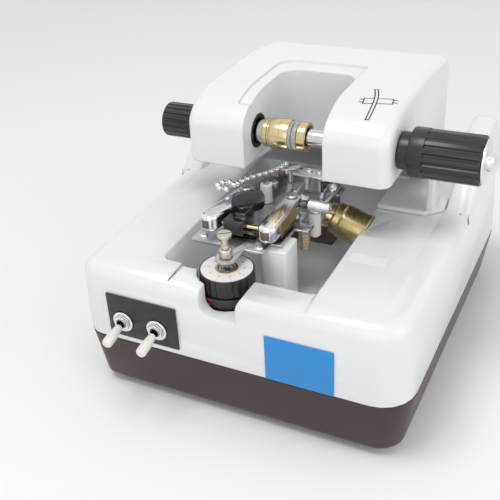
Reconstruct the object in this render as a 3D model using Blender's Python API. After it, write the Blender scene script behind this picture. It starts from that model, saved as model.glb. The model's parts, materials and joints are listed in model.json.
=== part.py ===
"""Bench lens groover: moulded body, tilting clamp head, grooving spindle and guide carriage.

Metres, +Z up, front of the machine towards -Y. Places are written in the machine's own
frame: X is zero on the body's middle, Y is zero on the front face, and Z is zero on the
table. One empty then shifts the machine so that the middle of its footprint is the origin.
"""
import math

import bmesh
import bpy
from mathutils import Matrix, Vector

# Clearances and mesh settings
GAP = 0.0003
OVERRUN = 0.004
MERGE = 0.000001
TURN_STEPS = 20
SMALL_STEPS = 10
ARC_STEPS = 5

# Moulded body
BODY_WIDTH = 0.200
BODY_DEPTH = 0.232
SEAM_Z = 0.040
DECK_Z = 0.090
FOOT_HEIGHT = 0.004
FRONT_LEFT_RADIUS = 0.013
FRONT_RIGHT_RADIUS = 0.020
REAR_RADIUS = 0.030
COVER_WALL = 0.0026
COVER_DRAFT = 0.0020
DECK_EDGE_RADIUS = 0.009
TRAY_WALL = 0.0030
TRAY_TAPER = 0.0050
TRAY_EDGE = 0.0045
POST_RADIUS = 0.0045
POST_BORE = 0.0019
POST_INSET_X = 0.0270
POST_INSET_Y = 0.0320
FOOT_RADIUS = 0.0090
FOOT_RECESS_RADIUS = 0.0042
FOOT_RECESS_DEPTH = 0.0022
BASE_SCREW_SHANK = 0.0016
BASE_SCREW_LENGTH = 0.0180

# Wet trough in the cover
TROUGH_LEFT = -0.0520
TROUGH_LEFT_FOOT = -0.0400
TROUGH_RIGHT = 0.0440
TROUGH_FRONT = 0.0210
TROUGH_FRONT_FOOT = 0.0260
TROUGH_REAR = 0.1620
TROUGH_FLOOR_Z = 0.0520
TROUGH_RADIUS = 0.0060
BRIDGE_DROP = 0.0022
BRIDGE_LEFT = -0.0380
DRAIN_X = 0.0180
DRAIN_Y = 0.0700
DRAIN_RADIUS = 0.0102
DRAIN_STEP = 0.0012

# Ears beside the head
EAR_FRONT_Y = 0.1280
EAR_CREST_Y = 0.1740
EAR_BACK_Y = 0.1900
EAR_REAR_Y = 0.2260
EAR_TOP_Z = 0.1270
EAR_THICKNESS = 0.0145
EAR_INSET = 0.0022
EAR_CREST_RADIUS = 0.0080
EAR_EDGE = 0.0030
EAR_SINK = 0.0094

# Raised bracket with its rib on the right deck
BRACKET_THICKNESS = 0.0028
BRACKET_FRONT_Y = 0.1180
BRACKET_SIDE_Y = 0.1270
BRACKET_REAR_Y = 0.1600
BRACKET_VERTEX_INSET = 0.0265
BRACKET_VERTEX_X = BODY_WIDTH / 2 - BRACKET_VERTEX_INSET
BRACKET_SIDE_GAP = 0.0006
RIB_WIDTH = 0.0036
RIB_HEIGHT = 0.0232
RIB_LENGTH = 0.0200
RIB_CREST = 0.0040

# Switch panel, labels and toggle switches
PANEL_LEFT = -0.0790
PANEL_RIGHT = -0.0325
PANEL_LOW_Z = 0.0445
PANEL_HIGH_Z = 0.0730
PANEL_THICKNESS = 0.0009
LABEL_LEFT = 0.0215
LABEL_RIGHT = 0.0610
LABEL_LOW_Z = 0.0410
LABEL_HIGH_Z = 0.0700
LABEL_THICKNESS = 0.0005
LENS_SWITCH_X = -0.0688
WHEEL_SWITCH_X = -0.0460
SWITCH_Z = 0.0555
BUSHING_RADIUS = 0.0030
BUSHING_PROUD = 0.0046
BUSHING_BORE = 0.0023
SWITCH_BODY_WIDTH = 0.0080
SWITCH_BODY_HEIGHT = 0.0130
SWITCH_BODY_DEPTH = 0.0100
SWITCH_PIN_LENGTH = 0.0036
SWITCH_PIN_WIDTH = 0.0016
SWITCH_PIN_PITCH = 0.0047
WASHER_RADIUS = 0.0066
WASHER_THICKNESS = 0.0007
NUT_RADIUS = 0.0052
NUT_THICKNESS = 0.0020
LEVER_ANGLE = math.radians(9.0)
LEVER_PIVOT_Y = -0.0004
LEVER_BALL_RADIUS = 0.0017
LEVER_ROOT_RADIUS = 0.0011
LEVER_TAIL = 0.0030
LEVER_SLEEVE_START = 0.0060
LEVER_NECK_RADIUS = 0.0023
LEVER_TIP_RADIUS = 0.0031
LEVER_LENGTH = 0.0215

# Depth dial
DIAL_X = -0.0120
DIAL_Y = 0.0255
DIAL_RADIUS = 0.0158
DIAL_LOW_Z = 0.0783
DIAL_FLUTES = 24
DIAL_FLUTE_DEPTH = 0.0005
DIAL_CHAMFER = 0.0008
DIAL_STEM_RADIUS = 0.0066
DIAL_STEM_LENGTH = 0.0110
SCALE_RADIUS = 0.0148
SCALE_THICKNESS = 0.0006
BARREL_RADIUS = 0.0152
BARREL_BORE = 0.0070
BARREL_FLOOR = 0.0020
POCKET_CLEARANCE = 0.0014
POCKET_FLOOR_Z = 0.0610
SLOT_LEFT = -0.0178
SLOT_RIGHT = 0.0045
SLOT_LOW_Z = 0.0722
SLOT_CORNER = 0.0070
SLOT_FLARE = 0.0090
LIFT_PIN_RADIUS = 0.0046
LIFT_PIN_LENGTH = 0.0110
LIFT_PIN_DISH = 0.0012

# Guide carriage: plate, hinge and depth screw
PLATE_Z = 0.0954
PLATE_THICKNESS = 0.0016
PLATE_LEFT = -0.0400
PLATE_RIGHT = 0.0058
PLATE_SIDE_X = 0.0122
PLATE_TAB_X = 0.0205
PLATE_FRONT = 0.0362
PLATE_SHOULDER_Y = 0.0470
PLATE_TAB_FRONT = 0.0665
PLATE_TAB_REAR = 0.0755
PLATE_WHEEL_FRONT = 0.0872
PLATE_WHEEL_REAR = 0.1135
PLATE_WAIST_X = -0.0085
PLATE_LEFT_REAR_X = -0.0300
PLATE_TAIL_X = 0.0215
PLATE_NECK_GAP = 0.0010
TONGUE_RADIUS = 0.0064
CARRIAGE_PIVOT_Y = 0.1350
CARRIAGE_PIN_RADIUS = 0.0022
KNUCKLE_RADIUS = 0.0045
KNUCKLE_LEFT = -0.0215
KNUCKLE_RIGHT = 0.0080
STAND_CHEEK = 0.0040
STAND_BASE_THICKNESS = 0.0025
STAND_HALF_DEPTH = 0.0085
SCREW_TIP_RADIUS = 0.0013
SCREW_THREAD_RADIUS = 0.0017
SCREW_NECK_RADIUS = 0.0023
SCREW_HEAD_RADIUS = 0.0042
SCREW_HEAD_HEIGHT = 0.0020
SCREW_TOP_Z = 0.1122
LOCK_NUT_RADIUS = 0.0041
LOCK_NUT_HEIGHT = 0.0052
PILLAR_LEFT = 0.0005
PILLAR_RIGHT = 0.0165
PILLAR_FRONT = 0.0425
PILLAR_REAR = 0.0610
PILLAR_EDGE = 0.0020
BUSH_POST_X = 0.0162
BUSH_POST_RADIUS = 0.0033
BUSH_POST_LENGTH = 0.0125
BUSH_POST_GROOVE = 0.0006

# Guide arms and what they carry
ARM_LOW_Z = 0.1000
ARM_TOP_Z = 0.1100
ARM_HALF_WIDTH = 0.0056
ARM_REACH = 0.0350
ARM_PIVOT_Y = 0.0810
RIGHT_ARM_X = 0.0048
LEFT_ARM_X = -0.0250
LEFT_ARM_TURN = math.radians(-11.5)
ARM_EDGE = 0.0012
PIVOT_SCREW_RADIUS = 0.0016
PIVOT_SCREW_HEAD = 0.0036
PIVOT_SCREW_HEAD_HEIGHT = 0.0013
ARM_BOSS_RADIUS = 0.0048
ROD_RADIUS = 0.0015
ROD_Y = 0.0505
ROD_Z = 0.1030
ROD_LEFT = -0.0340
ROD_RIGHT = -0.0012
THUMB_Z = 0.1062
THUMB_START_X = 0.0150
THUMB_END_X = 0.0285
THUMB_RADIUS = 0.0034
THUMB_SHANK_RADIUS = 0.0011
THUMB_SHANK_DEPTH = 0.0030
SPRING_RADIUS = 0.0022
SPRING_WIRE = 0.0004
SPRING_TURNS = 2
SPRING_POINTS_PER_TURN = 9
SPRING_SIDES = 6
CLIP_LEFT = -0.0238
CLIP_RIGHT = -0.0110
CLIP_HALF_DEPTH = 0.0046
CLIP_LOW_Z = 0.0985
CLIP_TOP_Z = 0.1075
PADDLE_X = -0.0145
PADDLE_Y = 0.0610
PADDLE_LOW_Z = 0.1068
PADDLE_TOP_Z = 0.1200
PADDLE_WIDTH = 0.0196
PADDLE_THICKNESS = 0.0038
PADDLE_TURN = math.radians(37.0)
JAW_LENGTH = 0.0120
JAW_WIDTH = 0.0060

# Nylon rollers, their strip, the wheel guard and the bead chain
LEFT_ROLLER_X = -0.0168
LEFT_ROLLER_Y = 0.0915
RIGHT_ROLLER_X = 0.0168
RIGHT_ROLLER_Y = 0.0862
ROLLER_RADIUS = 0.0036
LEFT_ROLLER_LENGTH = 0.0125
RIGHT_ROLLER_LENGTH = 0.0155
ROLLER_PIN_RADIUS = 0.0012
ROLLER_PIN_HEAD = 0.0021
ROLLER_PIN_HEAD_HEIGHT = 0.0009
STRIP_Z = 0.0994
STRIP_THICKNESS = 0.0014
STRIP_HALF_WIDTH = 0.0038
STRIP_END_Y = 0.1205
GUARD_CORNER = 0.0027
GUARD_LEFT = -0.0030
GUARD_RIGHT = 0.0105
GUARD_FRONT = 0.1130
GUARD_REAR = 0.1250
GUARD_HEIGHT = 0.0095
GUARD_PLATE = 0.0016
ANCHOR_X = -0.0135
ANCHOR_Y = 0.1210
ANCHOR_HEIGHT = 0.0095
ANCHOR_RADIUS = 0.0042
ANCHOR_STRETCH = 1.7
ANCHOR_THICKNESS = 0.0012
ANCHOR_STEM = 0.0018
BEAD_RADIUS = 0.0016
LINK_RADIUS = 0.0005
BEAD_PITCH = 0.0038
CHAIN_SIDES = 5
CHAIN_LOOP_RADIUS = 0.0048
CHAIN_LOOP_X = -0.0365
CHAIN_LOOP_Y = 0.0765

# Grooving spindle and its drive, along a tilted axis through the wheel's centre
SPINDLE_TILT = math.radians(20.0)
WHEEL_Y = 0.1000
WHEEL_Z = 0.0990
WHEEL_RADIUS = 0.0100
WHEEL_HALF_WIDTH = 0.0008
WHEEL_RIM_HALF_WIDTH = 0.0003
WHEEL_NUT_RADIUS = 0.0038
WHEEL_NUT_LENGTH = 0.0026
SPINDLE_RADIUS = 0.0020
SHOULDER_RADIUS = 0.0036
SHOULDER_LENGTH = 0.0060
COLLAR_START = 0.0208
COLLAR_LENGTH = 0.0050
COLLAR_RADIUS = 0.0074
SET_SCREW_RADIUS = 0.0012
DRUM_RADIUS = 0.0087
DRUM_END_RADIUS = 0.0094
DRUM_LENGTH = 0.0285
PULLEY_START = 0.0600
PULLEY_WIDTH = 0.0060
PULLEY_FLANGE = 0.0009
SPINDLE_PULLEY_RADIUS = 0.0055
MOTOR_PULLEY_RADIUS = 0.0080
BELT_THICKNESS = 0.0011
MOTOR_BACK = 0.0360
MOTOR_RADIUS = 0.0110
MOTOR_ROOM = 0.0740
MOTOR_LENGTH = BODY_WIDTH / 2 - MOTOR_ROOM
MOTOR_SHAFT_RADIUS = 0.0016
MOTOR_BOSS_RADIUS = 0.0045
MOTOR_BOSS_LENGTH = 0.0020
MOTOR_PEDESTAL_HALF = 0.0080

# Power parts inside the base
TRANSFORMER_X = -0.0520
TRANSFORMER_Y = 0.1650
TRANSFORMER_WIDTH = 0.0440
TRANSFORMER_DEPTH = 0.0300
TRANSFORMER_HEIGHT = 0.0300
COIL_OVERHANG = 0.0070
COIL_WIDTH = 0.0260
COIL_HEIGHT = 0.0180
BOARD_X = 0.0000
BOARD_Y = 0.1000
BOARD_WIDTH = 0.0700
BOARD_DEPTH = 0.0450
BOARD_THICKNESS = 0.0016
BOARD_POST = 0.0050
BOARD_POST_RADIUS = 0.0030
BOARD_PART_HEIGHT = 0.0120
INLET_X = 0.0550
INLET_Z = 0.0220
INLET_WIDTH = 0.0270
INLET_HEIGHT = 0.0200
INLET_DEPTH = 0.0220
INLET_WALL = 0.0020
INLET_FLANGE = 0.0040
INLET_FLANGE_THICKNESS = 0.0018
INLET_CAVITY = 0.0150
INLET_PIN_LENGTH = 0.0240
INLET_PIN_WIDTH = 0.0020
INLET_PIN_HEIGHT = 0.0040
INLET_PIN_PITCH = 0.0070

# Tilting head
HEAD_HALF_WIDTH = 0.0625
HEAD_FRONT_Y = 0.0790
HEAD_REAR_Y = 0.2090
HEAD_TOP_Z = 0.1650
HEAD_NOSE_DEPTH = 0.0340
HEAD_NOSE_HEIGHT = 0.0180
HEAD_TOP_FALL = 0.0050
HEAD_FLAT_Y = 0.1660
HEAD_ARM_LOW_Z = 0.1245
HEAD_ARM_END_Y = 0.1300
HEAD_SLOPE_END_Y = 0.1600
HEAD_REAR_LOW_Z = 0.0990
HEAD_REAR_RADIUS = 0.0090
HEAD_EDGE_RADIUS = 0.0070
HEAD_WALL = 0.0026
MOUTH_HALF_WIDTH = 0.0243
MOUTH_REAR_Y = 0.1430
MOUTH_RADIUS = 0.0120
RIM_LEFT = 0.0075
RIM_REAR = 0.0130
RIM_DEPTH = 0.0012
HINGE_Y = 0.2000
HINGE_Z = 0.1000
HINGE_INSET = 0.0185
HINGE_X = HEAD_HALF_WIDTH - HINGE_INSET
HINGE_PIN_RADIUS = 0.0022
HINGE_LUG_RADIUS = 0.0052
HINGE_LUG_WIDTH = 0.0050
HINGE_LUG_HEEL = -76.0
HINGE_FOOT_LENGTH = 0.0070
HINGE_FOOT_THICKNESS = 0.0026
CHASSIS_Z = 0.1262
CHASSIS_THICKNESS = 0.0016
CHASSIS_MARGIN = 0.0006

# Clamp line in the head
CLAMP_Y = 0.1000
CLAMP_Z = 0.1400
ARM_HOLE_RADIUS = 0.0104
LEFT_SHAFT_RADIUS = 0.0030
LEFT_FLANGE_RADIUS = 0.0070
LEFT_CHUCK_X = -0.0190
LEFT_CHUCK_LENGTH = 0.0165
LEFT_CHUCK_RADIUS = 0.0092
CHUCK_STEP = 0.0006
CHUCK_SHOULDER = 0.0035
CHUCK_CUP = 0.0015
PAD_RADIUS = 0.0084
PAD_THICKNESS = 0.0030
RIGHT_CHUCK_RADIUS = 0.0087
RIGHT_CHUCK_LENGTH = 0.0052
RIGHT_CHUCK_RECESS = 0.0068
RIGHT_SHAFT_RADIUS = 0.0053
RIGHT_SHAFT_BORE = 0.0034
RIGHT_SHAFT_PROUD = 0.0030
RIGHT_SHAFT_END_X = HEAD_HALF_WIDTH + RIGHT_SHAFT_PROUD
CARRIER_X = 0.0390
CARRIER_WIDTH = 0.0060
CARRIER_RING = 0.0068
CARRIER_RING_WIDTH = 0.0012
STANDARD_WIDTH = 0.0045
STANDARD_WALL = 0.0022
LEFT_INNER_STANDARD_X = -0.0300
RIGHT_INNER_STANDARD_X = 0.0297
OUTER_STANDARD_INSET = 0.0053
OUTER_STANDARD_X = HEAD_HALF_WIDTH - OUTER_STANDARD_INSET
LENS_GEAR_X = -0.0365
LENS_GEAR_TEETH = 20
PINION_TEETH = 10
GEAR_MODULE = 0.0010
GEAR_WIDTH = 0.0040
GEAR_BACKLASH = 0.0006
GEAR_LIFT = math.radians(30.0)
LENS_MOTOR_RADIUS = 0.0090
LENS_MOTOR_ROOM = 0.0455
LENS_MOTOR_LENGTH = HEAD_HALF_WIDTH - LENS_MOTOR_ROOM
CLAMP_SCREW_RADIUS = 0.0028
KNOB_COLLAR_RADIUS = 0.0107
KNOB_COLLAR_LENGTH = 0.0063
KNOB_RADIUS = 0.0141
KNOB_LENGTH = 0.0392
KNOB_SMOOTH = 0.0085
KNOB_FLUTES = 16
KNOB_FLUTE_DEPTH = 0.0008
KNOB_EDGE = 0.0010
KNOB_BORE_DEPTH = 0.0200
KNOB_BORE = 0.0060
CLAMP_TRAVEL = 0.0100
CAP_RADIUS = 0.0125
CAP_THICKNESS = 0.0012
CAP_NUT_RADIUS = 0.0052
CAP_NUT_LENGTH = 0.0046
LEFT_KNOB_LENGTH = 0.0232
LEFT_KNOB_RADIUS = 0.0106
LEFT_KNOB_BORE_DEPTH = 0.0180

# Overall reach, which places the frame
RIGHT_REACH = (HEAD_HALF_WIDTH + GAP + KNOB_COLLAR_LENGTH + KNOB_LENGTH
               + GAP + CAP_THICKNESS + CAP_NUT_LENGTH)
FRONT_REACH = -LEVER_PIVOT_Y + LEVER_LENGTH * math.cos(LEVER_ANGLE)
REAR_REACH = BODY_DEPTH + INLET_FLANGE_THICKNESS + GAP
FRAME_X = (BODY_WIDTH / 2 - RIGHT_REACH) / 2
FRAME_Y = (FRONT_REACH - REAR_REACH) / 2

# Frames for shapes drawn in a plane other than XY
SIDEWAYS = Matrix(((0, 0, 1, 0), (1, 0, 0, 0), (0, 1, 0, 0), (0, 0, 0, 1)))
FACING = Matrix(((1, 0, 0, 0), (0, 0, -1, 0), (0, 1, 0, 0), (0, 0, 0, 1)))
ALONG_X = Matrix.Rotation(math.pi / 2, 4, "Y")
ALONG_Y = Matrix.Rotation(-math.pi / 2, 4, "X")
SPINDLE = Matrix.Translation((0, WHEEL_Y, WHEEL_Z)) @ Matrix.Rotation(SPINDLE_TILT, 4, "Y")
CLAMP = Matrix.Translation((0, CLAMP_Y, CLAMP_Z)) @ ALONG_X


# Meshes from outlines and profiles

def closed_mesh(bm):
    """Merge coincident points and turn every face outwards."""
    bmesh.ops.remove_doubles(bm, verts=bm.verts, dist=MERGE)
    bmesh.ops.recalc_face_normals(bm, faces=bm.faces)
    return bm


def prism(outline, low, high, matrix=Matrix.Identity(4)):
    """Extrude an outline drawn in XY from low to high."""
    bm = bmesh.new()
    base = bm.faces.new([bm.verts.new((x, y, low)) for x, y in outline])
    grown = bmesh.ops.extrude_face_region(bm, geom=[base])
    moved = [item for item in grown["geom"] if isinstance(item, bmesh.types.BMVert)]
    bmesh.ops.translate(bm, verts=moved, vec=(0, 0, high - low))
    bm.transform(matrix)
    return closed_mesh(bm)


def block(left, right, front, rear, low, high):
    """A box between two corners."""
    return prism([(left, front), (right, front), (right, rear), (left, rear)], low, high)


def loft(levels):
    """Join outlines of equal count, each at its height, and cap both ends."""
    bm = bmesh.new()
    rings = [[bm.verts.new((x, y, height)) for x, y in outline] for outline, height in levels]
    for lower, upper in zip(rings, rings[1:]):
        for index in range(len(lower)):
            after = (index + 1) % len(lower)
            bm.faces.new((lower[index], lower[after], upper[after], upper[index]))
    bm.faces.new(rings[0])
    bm.faces.new(rings[-1])
    return closed_mesh(bm)


def turned(profile, matrix=Matrix.Identity(4), steps=TURN_STEPS, flutes=None):
    """Turn a profile of (radius, height) about Z.

    A profile that starts and ends at radius zero is a solid; any other is a closed ring.
    flutes gives (depth, low, high): between these heights every other column is drawn in.
    """
    bm = bmesh.new()
    rings = []
    outer = max(radius for radius, height in profile)
    for radius, height in profile:
        if radius == 0:
            rings.append([bm.verts.new((0, 0, height))])
            continue
        ring = []
        for step in range(steps):
            angle = 2 * math.pi * step / steps
            reach = radius
            if flutes and step % 2 and flutes[1] <= height <= flutes[2] and radius * 1.2 > outer:
                reach = radius - flutes[0]
            ring.append(bm.verts.new((reach * math.cos(angle), reach * math.sin(angle), height)))
        rings.append(ring)
    pairs = list(zip(rings, rings[1:]))
    if len(rings[0]) > 1:
        pairs.append((rings[-1], rings[0]))
    for lower, upper in pairs:
        for step in range(steps):
            corners = [lower[step % len(lower)], lower[(step + 1) % len(lower)],
                       upper[(step + 1) % len(upper)], upper[step % len(upper)]]
            distinct = list(dict.fromkeys(corners))
            if len(distinct) > 2:
                bm.faces.new(distinct)
    bm.transform(matrix)
    return closed_mesh(bm)


def rod(radius, low, high, matrix=Matrix.Identity(4), steps=SMALL_STEPS):
    """A plain round bar."""
    return turned([(0, low), (radius, low), (radius, high), (0, high)], matrix, steps)


def tube(bore, radius, low, high, matrix=Matrix.Identity(4), steps=SMALL_STEPS):
    """A plain round tube."""
    return turned([(bore, low), (radius, low), (radius, high), (bore, high)], matrix, steps)


def swept(points, radii, sides):
    """A round tube through points, with its own radius at each."""
    bm = bmesh.new()
    count = len(points)
    side = None
    rings = []
    for index, point in enumerate(points):
        along = (points[min(index + 1, count - 1)] - points[max(index - 1, 0)]).normalized()
        if side is None:
            side = along.orthogonal().normalized()
        side = (side - along * side.dot(along)).normalized()
        other = along.cross(side)
        ring = []
        for step in range(sides):
            angle = 2 * math.pi * step / sides
            offset = side * math.cos(angle) + other * math.sin(angle)
            ring.append(bm.verts.new(point + offset * radii[index]))
        rings.append(ring)
    for lower, upper in zip(rings, rings[1:]):
        for step in range(sides):
            after = (step + 1) % sides
            bm.faces.new((lower[step], lower[after], upper[after], upper[step]))
    bm.faces.new(rings[0])
    bm.faces.new(rings[-1])
    return closed_mesh(bm)


def arc(centre_x, centre_y, radius, start, end, steps=ARC_STEPS, stretch=1.0):
    """Points along an arc, in degrees, with its height stretched or not."""
    points = []
    for step in range(steps + 1):
        angle = math.radians(start + (end - start) * step / steps)
        points.append((centre_x + radius * math.cos(angle),
                       centre_y + radius * stretch * math.sin(angle)))
    return points


def rounded(left, right, front, rear, radii, steps=ARC_STEPS):
    """A rectangle with its own radius at each corner, from front left round to rear left."""
    front_left, front_right, rear_right, rear_left = radii
    return (arc(left + front_left, front + front_left, front_left, 180, 270, steps)
            + arc(right - front_right, front + front_right, front_right, 270, 360, steps)
            + arc(right - rear_right, rear - rear_right, rear_right, 0, 90, steps)
            + arc(left + rear_left, rear - rear_left, rear_left, 90, 180, steps))


def at(x, y, z):
    """A matrix that only moves."""
    return Matrix.Translation((x, y, z))


# Objects and their materials

def material(name, colour, roughness, metallic=0.0):
    """A plain surface of one colour."""
    made = bpy.data.materials.new(name)
    made.use_nodes = True
    shader = made.node_tree.nodes["Principled BSDF"]
    shader.inputs["Base Color"].default_value = (*colour, 1.0)
    shader.inputs["Roughness"].default_value = roughness
    shader.inputs["Metallic"].default_value = metallic
    return made


def raw_object(name, bm):
    """Put a mesh in the scene, unplaced."""
    mesh = bpy.data.meshes.new(name)
    bm.to_mesh(mesh)
    bm.free()
    made = bpy.data.objects.new(name, mesh)
    bpy.context.scene.collection.objects.link(made)
    return made


def combine(target, bm, operation="DIFFERENCE"):
    """Cut a mesh from an object, or add it, and keep the result as the object's mesh."""
    tool = raw_object("tool", bm)
    step = target.modifiers.new("cut", "BOOLEAN")
    step.operation = operation
    step.object = tool
    graph = bpy.context.evaluated_depsgraph_get()
    result = bpy.data.meshes.new_from_object(target.evaluated_get(graph))
    target.modifiers.clear()
    old = target.data
    target.data = result
    result.name = target.name
    bpy.data.meshes.remove(old)
    bpy.data.objects.remove(tool)
    return target


def shaped(first, cuts=(), unions=()):
    """A mesh with others added to it and then cut from it."""
    work = raw_object("work", first)
    for extra in unions:
        combine(work, extra, "UNION")
    for cut in cuts:
        combine(work, cut)
    bm = bmesh.new()
    bm.from_mesh(work.data)
    bpy.data.objects.remove(work)
    return closed_mesh(bm)


def place(name, bm, surface, pivot=(0, 0, 0), turn=None, smooth=35.0):
    """Finish a named piece, with its origin on its pivot and its surface on it."""
    home = Matrix.Translation(pivot)
    if turn is not None:
        home = home @ turn
    bm.transform(home.inverted())
    made = raw_object(name, bm)
    made.data.materials.clear()
    made.data.materials.append(surface)
    made.data.shade_smooth()
    made.data.set_sharp_from_angle(angle=math.radians(smooth))
    made.parent = machine
    made.matrix_local = home
    return made


# Moulded body

def body_outline(inset, front_inset, grow=0.0):
    """The body's outline seen from above, drawn in by an inset."""
    radii = [max(radius - inset, COVER_WALL / 4) for radius in
             (FRONT_LEFT_RADIUS, FRONT_RIGHT_RADIUS, REAR_RADIUS, REAR_RADIUS)]
    half = BODY_WIDTH / 2 - inset + grow
    return rounded(-half, half, front_inset, BODY_DEPTH - inset, radii)


def cover_levels(wall, low):
    """Levels of the cover from its seam to its deck, drawn in by a wall."""
    shoulder = DECK_Z - DECK_EDGE_RADIUS
    levels = [(body_outline(wall, wall), low)]
    for step in range(ARC_STEPS + 1):
        angle = math.pi / 2 * step / ARC_STEPS
        round_in = DECK_EDGE_RADIUS * (1 - math.cos(angle))
        rise = shoulder + DECK_EDGE_RADIUS * math.sin(angle) - wall
        levels.append((body_outline(wall + COVER_DRAFT + round_in, wall + round_in), rise))
    return levels


def trough_levels(wall, low, high):
    """The wet trough, with a sloping left side; a wall draws it outwards."""
    radii = [TROUGH_RADIUS + wall] * 4
    foot = rounded(TROUGH_LEFT_FOOT - wall, TROUGH_RIGHT + wall, TROUGH_FRONT_FOOT - wall,
                   TROUGH_REAR + wall, radii)
    rim = rounded(TROUGH_LEFT - wall, TROUGH_RIGHT + wall, TROUGH_FRONT - wall,
                  TROUGH_REAR + wall, radii)
    return [(foot, low), (rim, DECK_Z), (rim, high)]


def slot_outline(wall):
    """The dial's slot seen from the front: a round lower corner and a flared upper one."""
    corner = arc(SLOT_LEFT + SLOT_CORNER, SLOT_LOW_Z + SLOT_CORNER, SLOT_CORNER + wall, 180, 270)
    flare = arc(SLOT_RIGHT + SLOT_FLARE, DECK_Z - SLOT_FLARE, SLOT_FLARE - wall, 180, 90)
    return corner + [(SLOT_RIGHT + wall, SLOT_LOW_Z - wall)] + flare + [
        (SLOT_RIGHT + SLOT_FLARE, DECK_Z + OVERRUN), (SLOT_LEFT - wall, DECK_Z + OVERRUN)]


def ear(side, wall, sink):
    """A hump beside the head, from its outline seen from the side."""
    outer = side * (BODY_WIDTH / 2 - EAR_INSET - wall)
    inner = side * (BODY_WIDTH / 2 - EAR_INSET - EAR_THICKNESS + wall)
    radius = EAR_CREST_RADIUS
    crest = EAR_TOP_Z - radius
    outline = ([(EAR_REAR_Y - wall, DECK_Z - sink)]
               + [(EAR_REAR_Y - wall, DECK_Z)]
               + arc(EAR_BACK_Y, crest, radius - wall, 45, 90, ARC_STEPS // 2)
               + arc(EAR_CREST_Y, crest, radius - wall, 90, 130, ARC_STEPS // 2)
               + [(EAR_FRONT_Y + wall, DECK_Z), (EAR_FRONT_Y + wall, DECK_Z - sink)])
    bm = prism(outline, min(inner, outer), max(inner, outer), SIDEWAYS)
    if wall == 0:
        edges = [edge for edge in bm.edges
                 if edge.calc_face_angle(0) > math.radians(60)
                 and all(vert.co.z > DECK_Z - sink / 2 for vert in edge.verts)]
        bmesh.ops.bevel(bm, geom=edges, offset=EAR_EDGE, segments=2, profile=0.5, affect="EDGES")
    return bm


def corner_places():
    """Feet, screws and posts share these four places."""
    return [(side * (BODY_WIDTH / 2 - POST_INSET_X), y) for side in (-1, 1)
            for y in (POST_INSET_Y, BODY_DEPTH - POST_INSET_Y)]


def tray_floor():
    """Height of the inside of the base."""
    return FOOT_HEIGHT + TRAY_WALL


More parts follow.
